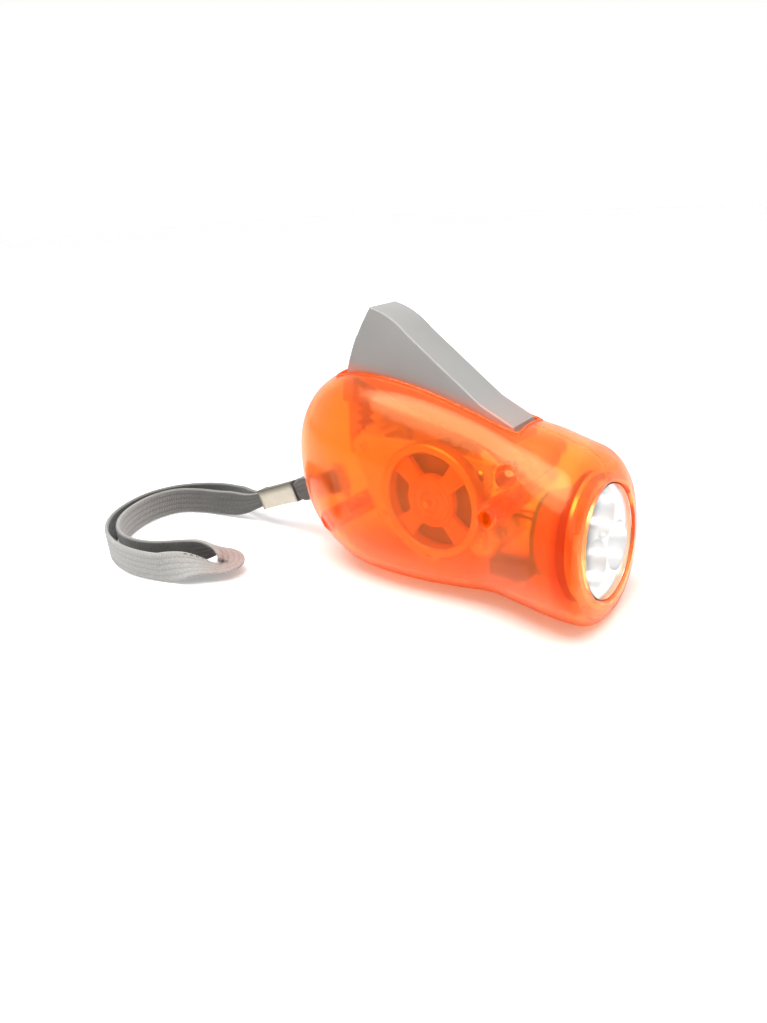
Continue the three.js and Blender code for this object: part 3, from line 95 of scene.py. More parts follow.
SCREW_HOLE = 1.2
PIVOT_BOSS = 3.4
PIVOT_BOSS_START = 6.95
SEAM = 0.06
FLYWHEEL_Y = (-14.2, -9.4)
FLYWHEEL_RADIUS = 17.4
RIM_WIDTH = 2.7
STRAP_EXIT_Z = 21.6
STRAP_SLOPE = math.radians(20.6)
LENS_RIM = 18.6
CUP_CIRCLE = 8.4


# Camera, at the photograph's viewing angle
def make_camera():
    target, distance = Vector((-0.000794, 0, 0.027)), 0.23231
    azimuth, elevation, roll = math.radians(34.8), math.radians(22.5), math.radians(-2.77)
    back = Vector((math.sin(azimuth) * math.cos(elevation), -math.cos(azimuth) * math.cos(elevation),
                   math.sin(elevation)))
    level = Vector((math.cos(azimuth), math.sin(azimuth), 0))
    upright = back.cross(level)
    right = math.cos(roll) * level + math.sin(roll) * upright
    up = -math.sin(roll) * level + math.cos(roll) * upright
    camera = bpy.data.objects.new("camera", bpy.data.cameras.new("camera"))
    camera.data.sensor_fit = "VERTICAL"
    camera.data.sensor_height = 36
    camera.data.lens = 26.33
    camera.data.shift_x = -0.0629
    camera.data.shift_y = -0.0139
    camera.data.clip_start = 0.005
    turned = Matrix((right, up, back)).transposed().to_4x4()
    camera.matrix_world = Matrix.Translation(target + back * distance) @ turned
    scene.collection.objects.link(camera)
    scene.camera = camera


make_camera()


# Node tools
def feed(tree, sockets, values):
    """Links or sets sockets by their names or numbers."""
    for key, value in values.items():
        if isinstance(value, bpy.types.NodeSocket):
            tree.links.new(value, sockets[key])
        else:
            sockets[key].default_value = value


def node(tree, kind, inputs=None, **settings):
    made = tree.nodes.new(kind)
    for name, value in settings.items():
        setattr(made, name, value)
    feed(tree, made.inputs, inputs or {})
    return made


def maths(tree, operation, *values):
    return node(tree, "ShaderNodeMath", dict(enumerate(values)), operation=operation).outputs[0]


def spread(tree, value, low, high, first=0.0, last=1.0, smooth=False):
    """A value's place from low to high, carried over to the span from first to last."""
    return node(tree, "ShaderNodeMapRange", {"Value": value, "From Min": low, "From Max": high,
                                             "To Min": first, "To Max": last},
                interpolation_type="SMOOTHSTEP" if smooth else "LINEAR").outputs[0]


def mix_color(tree, factor, a, b):
    return node(tree, "ShaderNodeMix", {"Factor": factor, "A": a, "B": b}, data_type="RGBA").outputs["Result"]


def own_place(tree):
    """Place in the piece's own space, in metres."""
    return node(tree, "ShaderNodeTexCoord").outputs["Object"]


def stretched(tree, scale, turn=(0.0, 0.0, 0.0)):
    return node(tree, "ShaderNodeMapping", {"Vector": own_place(tree), "Scale": scale,
                                            "Rotation": turn}).outputs[0]


def noise(tree, place, scale, detail, roughness=0.5):
    return node(tree, "ShaderNodeTexNoise", {"Vector": place, "Scale": scale, "Detail": detail,
                                             "Roughness": roughness}).outputs["Fac"]


def bumped(tree, height, strength, distance):
    return node(tree, "ShaderNodeBump", {"Height": height, "Strength": strength,
                                         "Distance": distance}).outputs[0]


def new_group(name, inputs, outputs):
    """Node group from its inputs' first values and its outputs' names."""
    group = bpy.data.node_groups.new(name, "ShaderNodeTree")
    for label, value in inputs.items():
        kind = "NodeSocketColor" if isinstance(value, tuple) else "NodeSocketFloat"
        group.interface.new_socket(label, in_out="INPUT", socket_type=kind).default_value = value
    for label in outputs:
        kind = "NodeSocketColor" if label == "Color" else "NodeSocketFloat"
        group.interface.new_socket(label, in_out="OUTPUT", socket_type=kind)
    return group, group.nodes.new("NodeGroupInput").outputs, group.nodes.new("NodeGroupOutput").inputs


def moulding_group():
    """Fine grain and slow unevenness of moulded plastic."""
    group, given, out = new_group(
        "moulded_surface",
        {"Grain Scale": 900.0, "Wave Scale": 60.0, "Dark": (0, 0, 0, 1), "Light": (1, 1, 1, 1)},
        ["Color", "Height", "Mask"])
    place = own_place(group)
    grain = noise(group, place, given["Grain Scale"], 3.0)
    wave = noise(group, place, given["Wave Scale"], 2.0)
    feed(group, out, {"Color": mix_color(group, wave, given["Dark"], given["Light"]),
                      "Height": maths(group, "ADD", grain, wave), "Mask": wave})
    return group


def wear_group():
    """Scuffs: short scratches and rubbed patches, as a mask."""
    group, given, out = new_group("handling_marks", {"Scale": 40.0, "Amount": 0.5}, ["Mask"])
    marks = noise(group, stretched(group, (1.0, 7.0, 2.5), (0.3, 0.5, 0.9)), given["Scale"], 5.0, 0.7)
    feed(group, out, {"Mask": spread(group, marks, 0.56, 0.74, last=given["Amount"])})
    return group


def weave_group():
    """Ribbed webbing on a UV map: u runs along it in metres, one more on its inner face, and v across it."""
    group, given, out = new_group("ribbed_webbing", {"Rib Pitch": 0.0007, "Rows": 5.0, "Middle": 0.162},
                                  ["Height", "Mask", "Speckle", "Painted Shade", "Tip", "Stitch", "Edge Highlight"])
    uv = node(group, "ShaderNodeUVMap", uv_map="webbing").outputs[0]
    u, v = node(group, "ShaderNodeSeparateXYZ", {0: uv}).outputs[:2]
    along = maths(group, "FRACT", u)
    inner_face = maths(group, "GREATER_THAN", u, 1.0)
    rows = maths(group, "MULTIPLY", v, given["Rows"])
    # The ribs of each row lie half a pitch ahead of the row before
    ribs = maths(group, "MULTIPLY_ADD", maths(group, "FLOOR", rows), 0.5,
                 maths(group, "DIVIDE", along, given["Rib Pitch"]))
    rib = maths(group, "SINE", maths(group, "MULTIPLY", ribs, math.tau))
    row = maths(group, "COSINE", maths(group, "MULTIPLY", rows, math.tau))
    from_tip = maths(group, "SUBTRACT", along, given["Middle"])
    reach = maths(group, "ABSOLUTE", from_tip)
    far = spread(group, reach, 0.055, 0.115, smooth=True)
    # A row of stitches along the upper edge, from 18 to 7 mm before the tip
    on_edge = maths(group, "COMPARE", v, 0.92, 0.022)
    on_run = maths(group, "COMPARE", from_tip, -0.0125, 0.0055)
    thread = maths(group, "LESS_THAN", maths(group, "MODULO", along, 0.0017), 0.0009)
    aside = maths(group, "ABSOLUTE", maths(group, "SUBTRACT", v, 0.5))
    feed(group, out, {
        "Height": spread(group, maths(group, "MULTIPLY_ADD", row, -0.9, rib), -1.9, 1.9),
        "Mask": spread(group, row, 0.35, 1.0),
        "Speckle": noise(group, own_place(group), 1400.0, 3.0),
        # Painted shade: the far parts of the loop and its inner face take the dark grey
        "Painted Shade": maths(group, "MAXIMUM", far, inner_face),
        "Tip": spread(group, reach, 0.012, 0.003),
        "Stitch": maths(group, "MULTIPLY", maths(group, "MULTIPLY", on_edge, on_run), thread),
        # Painted highlight: a paler band along both edges of the webbing
        "Edge Highlight": spread(group, aside, 0.435, 0.475)})
    return group


GRAIN = moulding_group()
MARKS = wear_group()
WEAVE = weave_group()


# Materials
def material(name):
    made = bpy.data.materials.new(name)
    made.use_nodes = True
    tree = made.node_tree
    tree.nodes.clear()
    shader = node(tree, "ShaderNodeBsdfPrincipled")
    node(tree, "ShaderNodeOutputMaterial", {"Surface": shader.outputs[0]})
    return made, tree, shader.inputs


def moulded(name, dark, light, roughness, bump, grain=900.0, marks=0.0, **sockets):
    """Plastic with its grain, slow unevenness and handling marks."""
    made, tree, shader = material(name)
    grained = node(tree, "ShaderNodeGroup", {"Grain Scale": grain, "Dark": (*dark, 1), "Light": (*light, 1)},
                   node_tree=GRAIN).outputs
    worn = node(tree, "ShaderNodeGroup", {"Amount": marks}, node_tree=MARKS).outputs["Mask"]
    rough = maths(tree, "MULTIPLY_ADD", grained["Mask"], 0.12, roughness - 0.06)
    feed(tree, shader, {
        "Base Color": grained["Color"],
        "Roughness": maths(tree, "ADD", rough, worn),
        "Normal": bumped(tree, grained["Height"], bump, 0.0002)})
    feed(tree, shader, {key.replace("_", " "): value for key, value in sockets.items()})
    return made


def metal(name, dark, light, roughness, bump=0.15, scale=(1, 1, 12)):
    """Drawn or pressed metal with fine lines along one way."""
    made, tree, shader = material(name)
    fine = noise(tree, stretched(tree, scale), 700.0, 4.0)
    worn = node(tree, "ShaderNodeGroup", {"Amount": 0.18}, node_tree=MARKS).outputs["Mask"]
    feed(tree, shader, {
        "Base Color": mix_color(tree, fine, (*dark, 1), (*light, 1)),
        "Metallic": 1,
        "Roughness": maths(tree, "ADD", worn, roughness),
        "Normal": bumped(tree, fine, bump, 0.0001)})
    return made


def webbing_material():
    """Ribbed webbing with a pale grey outer face, painted shade in dark grey on the far parts and the inner
    face, and a rosy tip.
    """
    made, tree, shader = material("grey_webbing")
    weave = node(tree, "ShaderNodeGroup", node_tree=WEAVE).outputs
    # Painted shade: dark grey on the far parts and the inner face, pale grey elsewhere, with deeper rib grooves
    # in the shade
    worn = mix_color(tree, weave["Speckle"], (0.245, 0.243, 0.232, 1), (0.46, 0.455, 0.432, 1))
    shaded = mix_color(tree, weave["Speckle"], (0.035, 0.032, 0.027, 1), (0.095, 0.089, 0.078, 1))
    rosy = mix_color(tree, weave["Tip"], mix_color(tree, weave["Painted Shade"], worn, shaded), (0.37, 0.28, 0.25, 1))
    depth = maths(tree, "MULTIPLY_ADD", weave["Painted Shade"], 0.4, 0.22)
    ribbed = mix_color(tree, maths(tree, "MULTIPLY", weave["Mask"], depth), rosy, (0.045, 0.042, 0.038, 1))
    # Painted highlight: paler grey along both edges
    highlighted = mix_color(tree, maths(tree, "MULTIPLY", weave["Edge Highlight"], 0.5), ribbed, (0.42, 0.415, 0.39, 1))
    feed(tree, shader, {
        "Base Color": mix_color(tree, weave["Stitch"], highlighted, (0.07, 0.07, 0.07, 1)),
        "Roughness": 0.85,
        "Sheen Weight": 0.35,
        "Sheen Roughness": 0.5,
        "Normal": bumped(tree, weave["Height"], 0.7, 0.0003)})
    return made


def crimp_material():
    """Tinned sleeve, tarnished where its attribute says: along the upper fold and at both mouths."""
    made, tree, shader = material("pressed_tin")
    place = own_place(tree)
    stain = node(tree, "ShaderNodeAttribute", attribute_name="stain").outputs["Fac"]
    bright = mix_color(tree, noise(tree, place, 160.0, 2.0), (0.5, 0.44, 0.34, 1), (0.76, 0.71, 0.6, 1))
    feed(tree, shader, {
        "Base Color": mix_color(tree, maths(tree, "MULTIPLY", stain, 0.88), bright, (0.09, 0.08, 0.075, 1)),
        "Metallic": 1,
        "Roughness": maths(tree, "MULTIPLY_ADD", stain, 0.2, 0.26),
        "Normal": bumped(tree, noise(tree, place, 900.0, 4.0), 0.25, 0.0001)})
    return made


# Painted glow: the shell's faint red emission makes it shine as if lit from inside
CLEAR_ORANGE = moulded("clear_orange_plastic", (1.0, 0.34, 0.05), (1.0, 0.44, 0.1), 0.14, 0.04, marks=0.04,
                       Transmission_Weight=0.94, IOR=1.42, Specular_Tint=(1.0, 0.62, 0.32, 1.0),
                       Emission_Color=(1.0, 0.06, 0.0, 1.0), Emission_Strength=0.12)
PEACH = moulded("peach_plastic", (0.8, 0.39, 0.25), (0.88, 0.47, 0.32), 0.42, 0.08)
HOLDER = moulded("brown_plastic", (0.4, 0.15, 0.065), (0.52, 0.21, 0.1), 0.4, 0.08)
# Partly real, partly painted shade: the collar's dark red stands for the flange's edge and the shadow behind it
COLLAR_SHADE = moulded("dark_red_painted_shade", (0.2, 0.03, 0.015), (0.28, 0.05, 0.025), 0.55, 0.1)
GREY = moulded("grey_plastic", (0.262, 0.255, 0.245), (0.305, 0.296, 0.284), 0.48, 0.12, grain=2200.0,
               marks=0.1)
WHITE = moulded("white_plastic", (0.84, 0.82, 0.78), (0.91, 0.9, 0.86), 0.4, 0.08)
BLACK = moulded("black_plastic", (0.03, 0.03, 0.032), (0.06, 0.06, 0.062), 0.45, 0.1)
RED = moulded("red_insulation", (0.5, 0.03, 0.03), (0.62, 0.05, 0.04), 0.4, 0.05)
BOARD = moulded("green_board", (0.02, 0.12, 0.05), (0.04, 0.2, 0.08), 0.4, 0.1, grain=3000.0)
LENS = moulded("clear_lens", (0.96, 0.98, 0.98), (0.99, 1.0, 1.0), 0.08, 0.0, Transmission_Weight=1.0, IOR=1.49)
LED = moulded("clear_resin", (0.95, 0.95, 0.9), (0.99, 0.99, 0.96), 0.1, 0.0, Transmission_Weight=0.85, IOR=1.5)
STEEL = metal("bright_steel", (0.55, 0.55, 0.55), (0.72, 0.72, 0.71), 0.26)
TURNED = metal("turned_steel", (0.58, 0.53, 0.49), (0.72, 0.67, 0.62), 0.4, scale=(1, 14, 1))
# Painted shade: dark metal for the disc that darkens the flywheel's openings
SHADE_DISC_METAL = metal("dark_shade_metal", (0.13, 0.1, 0.07), (0.23, 0.17, 0.11), 0.5, scale=(1, 14, 1))
CHROME = metal("mirror_coat", (0.95, 0.95, 0.945), (0.99, 0.99, 0.985), 0.28, bump=0.03)
COPPER = metal("copper_wire", (0.55, 0.2, 0.08), (0.75, 0.33, 0.14), 0.35, scale=(1, 40, 1))
WEBBING = webbing_material()
CRIMP = crimp_material()


def opened(made):
    """What a tint needs of a finished material: its tree, shader inputs, colour so far, and x, y and z."""
    tree = made.node_tree
    shader = next(n for n in tree.nodes if n.type == "BSDF_PRINCIPLED").inputs
    place = node(tree, "ShaderNodeSeparateXYZ", {0: own_place(tree)}).outputs
    return tree, shader, shader["Base Color"].links[0].from_socket, *place


def paint_head_light_and_shade(made):
    """Painted light and shade on the head: a painted dark-red shade band behind the bezel, and a paler painted
    glow on the front face and over the head's roof.
    """
    tree, shader, color, x, _, z = opened(made)

    def rise(place, low, high, top):
        return spread(tree, place, low, high, last=top, smooth=True)

    # Painted highlight over the head's roof and painted glow on the front face; painted shade in a band behind
    # the bezel, stronger higher up
    roof = maths(tree, "MULTIPLY", rise(x, 0.02, 0.034, 0.5), rise(z, 0.036, 0.045, 1.0))
    painted_glow = maths(tree, "MAXIMUM", rise(x, 0.0508, 0.053, 0.75), roof)
    thick = maths(tree, "SUBTRACT", rise(x, 0.0445, 0.0475, 0.75), rise(x, 0.0505, 0.0522, 0.75))
    painted_band_shade = maths(tree, "MULTIPLY", thick, spread(tree, z, 0.008, 0.022))
    band_shaded = mix_color(tree, painted_band_shade, color, (1.0, 0.12, 0.015, 1))
    feed(tree, shader, {"Base Color": mix_color(tree, painted_glow, band_shaded, (1.0, 0.7, 0.28, 1))})


def tint_by_glow(made):
    """Warm tint where the orange shell lights the lever at rest: along its sides' foot, and more inside."""
    tree, shader, color, x, y, z = opened(made)
    # The slot's edge falls 0.17 m per metre towards the nose, from 0.06 m at the middle of the body
    level = maths(tree, "MULTIPLY_ADD", x, 0.17, z)
    low = spread(tree, level, 0.0595, 0.065, 0.6, 0.0, smooth=True)
    side = spread(tree, maths(tree, "ABSOLUTE", y), 0.005, 0.0062, first=0.15)
    foot = mix_color(tree, maths(tree, "MULTIPLY", low, side), color, (0.75, 0.2, 0.1, 1))
    inside = spread(tree, level, 0.054, 0.0575, 0.55, 0.0, smooth=True)
    feed(tree, shader, {"Base Color": mix_color(tree, inside, foot, (0.95, 0.45, 0.24, 1))})


# Painted light and shade on the shell's head
paint_head_light_and_shade(CLEAR_ORANGE)
tint_by_glow(GREY)


BENCH = Matrix.Translation((SHIFT_X * MM, 0, 0)) @ Matrix.Diagonal((MM, MM, MM, 1))
HEAD = Matrix.Translation((BODY_LENGTH, 0, LENS_HEIGHT)) @ Matrix.Rotation(-LEAN - math.pi / 2, 4, "Y")
STRAP = Matrix.Translation((0, 0, STRAP_EXIT_Z)) @ Matrix.Rotation(math.pi - STRAP_SLOPE, 4, "Y")


def along_y(place):
    """Turns a form spun about z onto the y axis through x, z."""
    return BENCH @ Matrix.Translation((place[0], 0, place[1])) @ Matrix.Rotation(-math.pi / 2, 4, "X")


def between(low, value, high):
    return min(max(value, low), high)


def smooth_line(points):
    """Smooth value over a share, through given points."""
    slopes = []
    for i in range(len(points)):
        before, after = points[max(i - 1, 0)], points[min(i + 1, len(points) - 1)]
        slopes.append((after[1] - before[1]) / (after[0] - before[0]))

    def value(share):
        share = between(points[0][0], share, points[-1][0])
        i = max(next(k for k, point in enumerate(points) if point[0] >= share), 1)
        (x0, y0), (x1, y1) = points[i - 1], points[i]
        step = x1 - x0
        t = (share - x0) / step
        return (y0 * (2 * t**3 - 3 * t**2 + 1) + slopes[i - 1] * step * (t**3 - 2 * t**2 + t)
                + y1 * (3 * t**2 - 2 * t**3) + slopes[i] * step * (t**3 - t**2))

    return value


back_line, belly_line, side_line = smooth_line(BACK_LINE), smooth_line(BELLY_LINE), smooth_line(SIDE_LINE)
corner_power, lean_line = smooth_line(CORNER_POWER), smooth_line(LEAN_LINE)


def housing_point(x, turn, inset, shrink=1.0):
    """A point of the housing's skin, in millimetres; shrink draws it in on the front face."""
    share = x / BODY_LENGTH
    top = back_line(share) * BODY_HEIGHT - inset
    bottom = belly_line(share) * BODY_HEIGHT + inset
    dome_share = between(0, (DOME_LENGTH - x) / (DOME_LENGTH - inset), 1)
    dome = (1 - dome_share**DOME_POWER) ** (1 / DOME_POWER)
    round_size = FRONT_ROUND - inset
    past = between(0, x - (BODY_LENGTH - FRONT_ROUND), round_size)
    drawn = round_size - math.sqrt(round_size**2 - past**2)
    rise = ((top - bottom) / 2 * dome - drawn) * shrink
    half = ((side_line(share) * BODY_WIDTH / 2 - inset) * dome - drawn) * shrink
    power = 2 / corner_power(share)
    sine, cosine = math.sin(turn), math.cos(turn)
    z = (top + bottom) / 2 + rise * math.copysign(abs(sine) ** power, sine)
    y = half * math.copysign(abs(cosine) ** power, cosine)
    return Vector((x - math.tan(LEAN) * lean_line(share) * (z - LENS_HEIGHT), y, z))


def write(name, bm, matrix=BENCH, smooth=35):
    """A finished mesh object at the origin, smooth up to an angle between faces."""
    bmesh.ops.transform(bm, matrix=matrix, verts=bm.verts)
    bmesh.ops.recalc_face_normals(bm, faces=bm.faces)
    mesh = bpy.data.meshes.new(name)
    bm.to_mesh(mesh)
    bm.free()
    shade(mesh, smooth)
    made = bpy.data.objects.new(name, mesh)
    scene.collection.objects.link(made)
    return made


def shade(mesh, smooth):
    mesh.polygons.foreach_set("use_smooth", [True] * len(mesh.polygons))
    mesh.set_sharp_from_angle(angle=math.radians(smooth))


def spun(profile, steps=96):
    """Closed form of a [radius, height] profile spun about z, in millimetres."""
    bm = bmesh.new()
    points = [bm.verts.new((radius, 0, height)) for radius, height in profile]
    edges = [bm.edges.new(pair) for pair in zip(points, points[1:])]
    if profile[0][0] > 0:
        edges.append(bm.edges.new((points[-1], points[0])))
    bmesh.ops.spin(bm, geom=points + edges, cent=(0, 0, 0), axis=(0, 0, 1), angle=math.tau,
                   steps=steps, use_merge=True)
    bmesh.ops.remove_doubles(bm, verts=bm.verts, dist=1e-4)
    return bm


def prism(points, step):
    """Outline of points made solid along a step, in millimetres."""
    bm = bmesh.new()
    face = bm.faces.new([bm.verts.new(point) for point in points])
    grown = bmesh.ops.extrude_face_region(bm, geom=[face])["geom"]
    bmesh.ops.translate(bm, vec=step, verts=[v for v in grown if isinstance(v, bmesh.types.BMVert)])
    bmesh.ops.recalc_face_normals(bm, faces=bm.faces)
    return bm


def slab(points, y0, y1):
    """Outline of x, z points made solid between two y values."""
    return prism([(x, y0, z) for x, z in points], (0, y1 - y0, 0))


def lengthwise(bm, axis, least):
    """Edges that run at least so far along an axis."""
    return [e for e in bm.edges if abs(e.verts[0].co[axis] - e.verts[1].co[axis]) > least]


def rounded_edges(bm, edges, offset, segments=3, **settings):
    bmesh.ops.bevel(bm, geom=edges, offset=offset, segments=segments, profile=0.5, affect="EDGES",
                    material=-1, **settings)


def box(*spans):
    """Block between its lowest and highest x, y and z, in millimetres."""
    bm = bmesh.new()
    bmesh.ops.create_cube(bm, size=1)
    bmesh.ops.scale(bm, vec=[high - low for low, high in spans], verts=bm.verts)
    bmesh.ops.translate(bm, vec=[(low + high) / 2 for low, high in spans], verts=bm.verts)
    return bm


def polar(centre, radius, angle):
    return centre[0] + radius * math.cos(angle), centre[1] + radius * math.sin(angle)


def arc(centre, radius, start, end, steps):
    return [polar(centre, radius, start + (end - start) * i / steps) for i in range(steps + 1)]


def rod(place, radius, y):
    """Cylinder along y, in millimetres."""
    steps = 40
    return slab(arc(place, radius, 0, math.tau * (1 - 1 / steps), steps - 1), *y)


def halved(low, high, is_low):
    """The value from low to high at which is_low turns false."""
    for _ in range(30):
        middle = (low + high) / 2
        if is_low(middle):
            low = middle
        else:
            high = middle
    return high


def combine(target, how, *tools):
    """Joins or cuts an object with bmesh forms given in millimetres."""
    for bm in tools:
        tool = write("tool", bm)
        modifier = target.modifiers.new(how, "BOOLEAN")
        modifier.operation = how
        modifier.solver = "MANIFOLD"
        modifier.object = tool
        graph = bpy.context.evaluated_depsgraph_get()
        mesh = bpy.data.meshes.new_from_object(target.evaluated_get(graph))
        target.modifiers.clear()
        target.data = mesh
        bpy.data.objects.remove(tool)


def dress(piece, surface, body="housing", stands_for=()):
    piece.data.materials.clear()
    piece.data.materials.append(surface)
    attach(piece, body)
    if stands_for:
        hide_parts(*stands_for)
    return piece


# Wrist strap: the same route as its solid, out of the crimp, round on the table and back
STRAP_ROUTE = [(-22.6, 1, 13.3), (-31, 1.1, 10.1), (-39, 2.6, 7.2), (-48, 4.2, 5.6), (-57, 3.6, 5.3),
               (-66, -0.4, 5.3), (-73.4, -7.4, 5.3), (-76.8, -17, 5.3), (-75.4, -28, 5.3), (-70, -38.4, 5.3),
               (-60.6, -46.8, 5.3), (-49, -51.4, 5.3), (-37, -52.4, 5.3), (-26, -50.2, 5.3), (-16, -45.6, 5.3),
               (-8.6, -39.6, 5.3), (-7.4, -34.6, 5.3), (-12.4, -32.8, 5.3), (-20, -34.6, 5.3),
               (-28, -39.6, 5.3), (-36.5, -45.2, 5.3), (-46, -47.2, 5.3), (-56.5, -44.8, 5.3),
               (-66, -37.4, 5.3), (-71.6, -27.4, 5.3), (-73, -17.4, 5.3), (-69.8, -9.8, 5.3),
               (-61.6, -5.4, 5.3), (-51, -3.2, 5.6), (-40, -1.7, 7), (-31, -1.1, 10.1), (-22.6, -1, 13.3)]
STRAP_HALF = 5
STRAP_THICK = 1.3
TONGUE_HALF = 2.8
TAIL_HALF = 4.3
CRIMP_START, CRIMP_END = 12, 32


def strap_path(points, per_span=12):
    """Evenly smooth centripetal curve through the route."""
    points = [Vector(p) for p in points]
    ends = [2 * points[0] - points[1], *points, 2 * points[-1] - points[-2]]
    path = []
    for p0, p1, p2, p3 in zip(ends, ends[1:], ends[2:], ends[3:]):
        t1 = (p1 - p0).length ** 0.5
        t2 = t1 + (p2 - p1).length ** 0.5
        t3 = t2 + (p3 - p2).length ** 0.5
        for k in range(per_span):
            t = t1 + (t2 - t1) * k / per_span
            a1 = p0 * ((t1 - t) / t1) + p1 * (t / t1)
            a2 = p1 * ((t2 - t) / (t2 - t1)) + p2 * ((t - t1) / (t2 - t1))
            a3 = p2 * ((t3 - t) / (t3 - t2)) + p3 * ((t - t2) / (t3 - t2))
            b1 = a1 * ((t2 - t) / t2) + a2 * (t / t2)
            b2 = a2 * ((t3 - t) / (t3 - t1)) + a3 * ((t - t1) / (t3 - t1))
            path.append(b1 * ((t2 - t) / (t2 - t1)) + b2 * ((t - t1) / (t2 - t1)))
    return [*path, points[-1]]


# Shares of the half width and half thickness, over one face of the webbing and back along the other
WEB_FACE = [(-1, 0.35), (-0.97, 0.8), (-0.9, 1), (-0.5, 1), (0, 1), (0.5, 1), (0.9, 1), (0.97, 0.8), (1, 0.35)]
WEB_SECTION = WEB_FACE + [(across, -through) for across, through in reversed(WEB_FACE)]


def ribbon(name, path, half_at, thick, twist_at=None, begin=0.0):
    """Webbing with the UV map that its weave uses, with u counted from begin."""
    bm = bmesh.new()
    layer = bm.loops.layers.uv.new("webbing")
    rings, lengths = [], [0.0]
    for i, point in enumerate(path):
        along = (path[min(i + 1, len(path) - 1)] - path[max(i - 1, 0)]).normalized()
        across = Vector((0, 0, 1)).cross(along).normalized()
        up = along.cross(across)
        if twist_at:
            turn = Matrix.Rotation(twist_at(i), 3, along)
            across, up = turn @ across, turn @ up
        half = half_at(i)
        rings.append([bm.verts.new(point + up * half * a + across * thick / 2 * b) for a, b in WEB_SECTION])
        if i:
            lengths.append(lengths[-1] + (point - path[i - 1]).length)
    count = len(WEB_SECTION)
    for i in range(len(rings) - 1):
        for k in range(count):
            n = (k + 1) % count
            face = bm.faces.new((rings[i][k], rings[i][n], rings[i + 1][n], rings[i + 1][k]))
            corners = ((i, k), (i, n), (i + 1, n), (i + 1, k))
            start = begin + (1 if k < len(WEB_FACE) - 1 else 0)
            for loop, (row, column) in zip(face.loops, corners):
                loop[layer].uv = (start + lengths[row] * MM, (WEB_SECTION[column][0] + 1) / 2)
    for ring in (rings[0], rings[-1]):
        face = bm.faces.new(ring)
        for loop in face.loops:
            loop[layer].uv = (0, 0.5)
    return write(name, bm, smooth=50)


# By distance from the tip's fold: lean in degrees, share of the width, and how far the webbing sinks and
# moves inwards. The tip lies over on its side with the upper edge inwards, like a leaf.
TIP_LEAN = [(-26, 0), (-20, 30), (-14, 70), (-9, 88), (-4, 90), (2, 84), (7, 70), (12, 52), (18, 24), (26, 0)]
TIP_WIDTH = [(-24, 1), (-14, 0.86), (-8, 0.66), (-3, 0.72), (2, 0.86), (8, 0.9), (16, 1)]
TIP_SINK = [(-26, 0), (-20, -0.2), (-14, 0.4), (-8, 1.5), (-3, 1.5), (2, 0.6), (7, -1.2), (12, -2.2), (19, -1),
            (26, 0)]
TIP_SHIFT = [(-26, 0), (-18, 1.6), (-12, 2), (-5, 1.4), (0, 1.2), (6, 0.7), (14, 0)]


def wrist_strap():
    path = strap_path(STRAP_ROUTE)
    gathered, flare_length = 8.6, 18
    soft_reach, soft_span = 20, 8
    run = [0.0]
    for a, b in zip(path, path[1:]):
        run.append(run[-1] + (b - a).length)
    fold = max((point.x, i) for i, point in enumerate(path) if point.y < -20)[1]
    lean, width, sink, shift = (smooth_line(points) for points in (TIP_LEAN, TIP_WIDTH, TIP_SINK, TIP_SHIFT))

    def lean_at(i):
        return -math.radians(lean(run[i] - run[fold]))

    def half_at(i):
        from_end = min(run[i], run[-1] - run[i])
        flare = between(0, (from_end - gathered) / flare_length, 1)
        half = TONGUE_HALF + (STRAP_HALF - TONGUE_HALF) * math.sin(flare * math.pi / 2) ** 2
        return half * width(run[i] - run[fold])

    def rounded(i):
        """The route's point, near the fold drawn to the average of the points close to it."""
        share = between(0, (soft_reach - abs(run[i] - run[fold])) / soft_span, 1)
        if share == 0:
            return path[i]
        total, weight = Vector(), 0.0
        for k in range(1, len(path) - 1):
            near = max(soft_span - abs(run[k] - run[i]), 0) * (run[k + 1] - run[k - 1])
            total += path[k] * near
            weight += near
        return path[i].lerp(total / weight, share)

    soft = [rounded(i) for i in range(len(path))]
    laid = []
    for i, point in enumerate(soft):
        inwards = Vector((0, 0, 1)).cross(soft[min(i + 1, len(soft) - 1)] - soft[max(i - 1, 0)]).normalized()
        past = run[i] - run[fold]
        laid.append(point + inwards * shift(past) - Vector((0, 0, sink(past))))
    strap = ribbon("webbing_loop", laid, half_at, STRAP_THICK, lean_at)
    dress(strap, WEBBING, stands_for=["wrist_strap"])
    return strap, [list(BENCH @ point) for point in laid]


def strap_tail():
    """Webbing that comes out of the rear wall from the post and is gathered in the crimp."""
    made = []
    for name, side in (("webbing_tail_left", 1), ("webbing_tail_right", -1)):
        route = [(-11, 2.4), (-8, 1.9), (-5.6, 1), (0, 1), (9, 1), (12, 1), (17.8, 1)]
        path = strap_path([(x, side * y, 0) for x, y in route], 6)

        def half_at(i, path=path):
            return TONGUE_HALF + (TAIL_HALF - TONGUE_HALF) * between(0, (CRIMP_START - path[i].x) / 3, 1)

        tail = ribbon(name, [STRAP @ point for point in path], half_at, STRAP_THICK, begin=0.045)
        made.append(dress(tail, WEBBING, stands_for=["strap_tail"]))
    return made


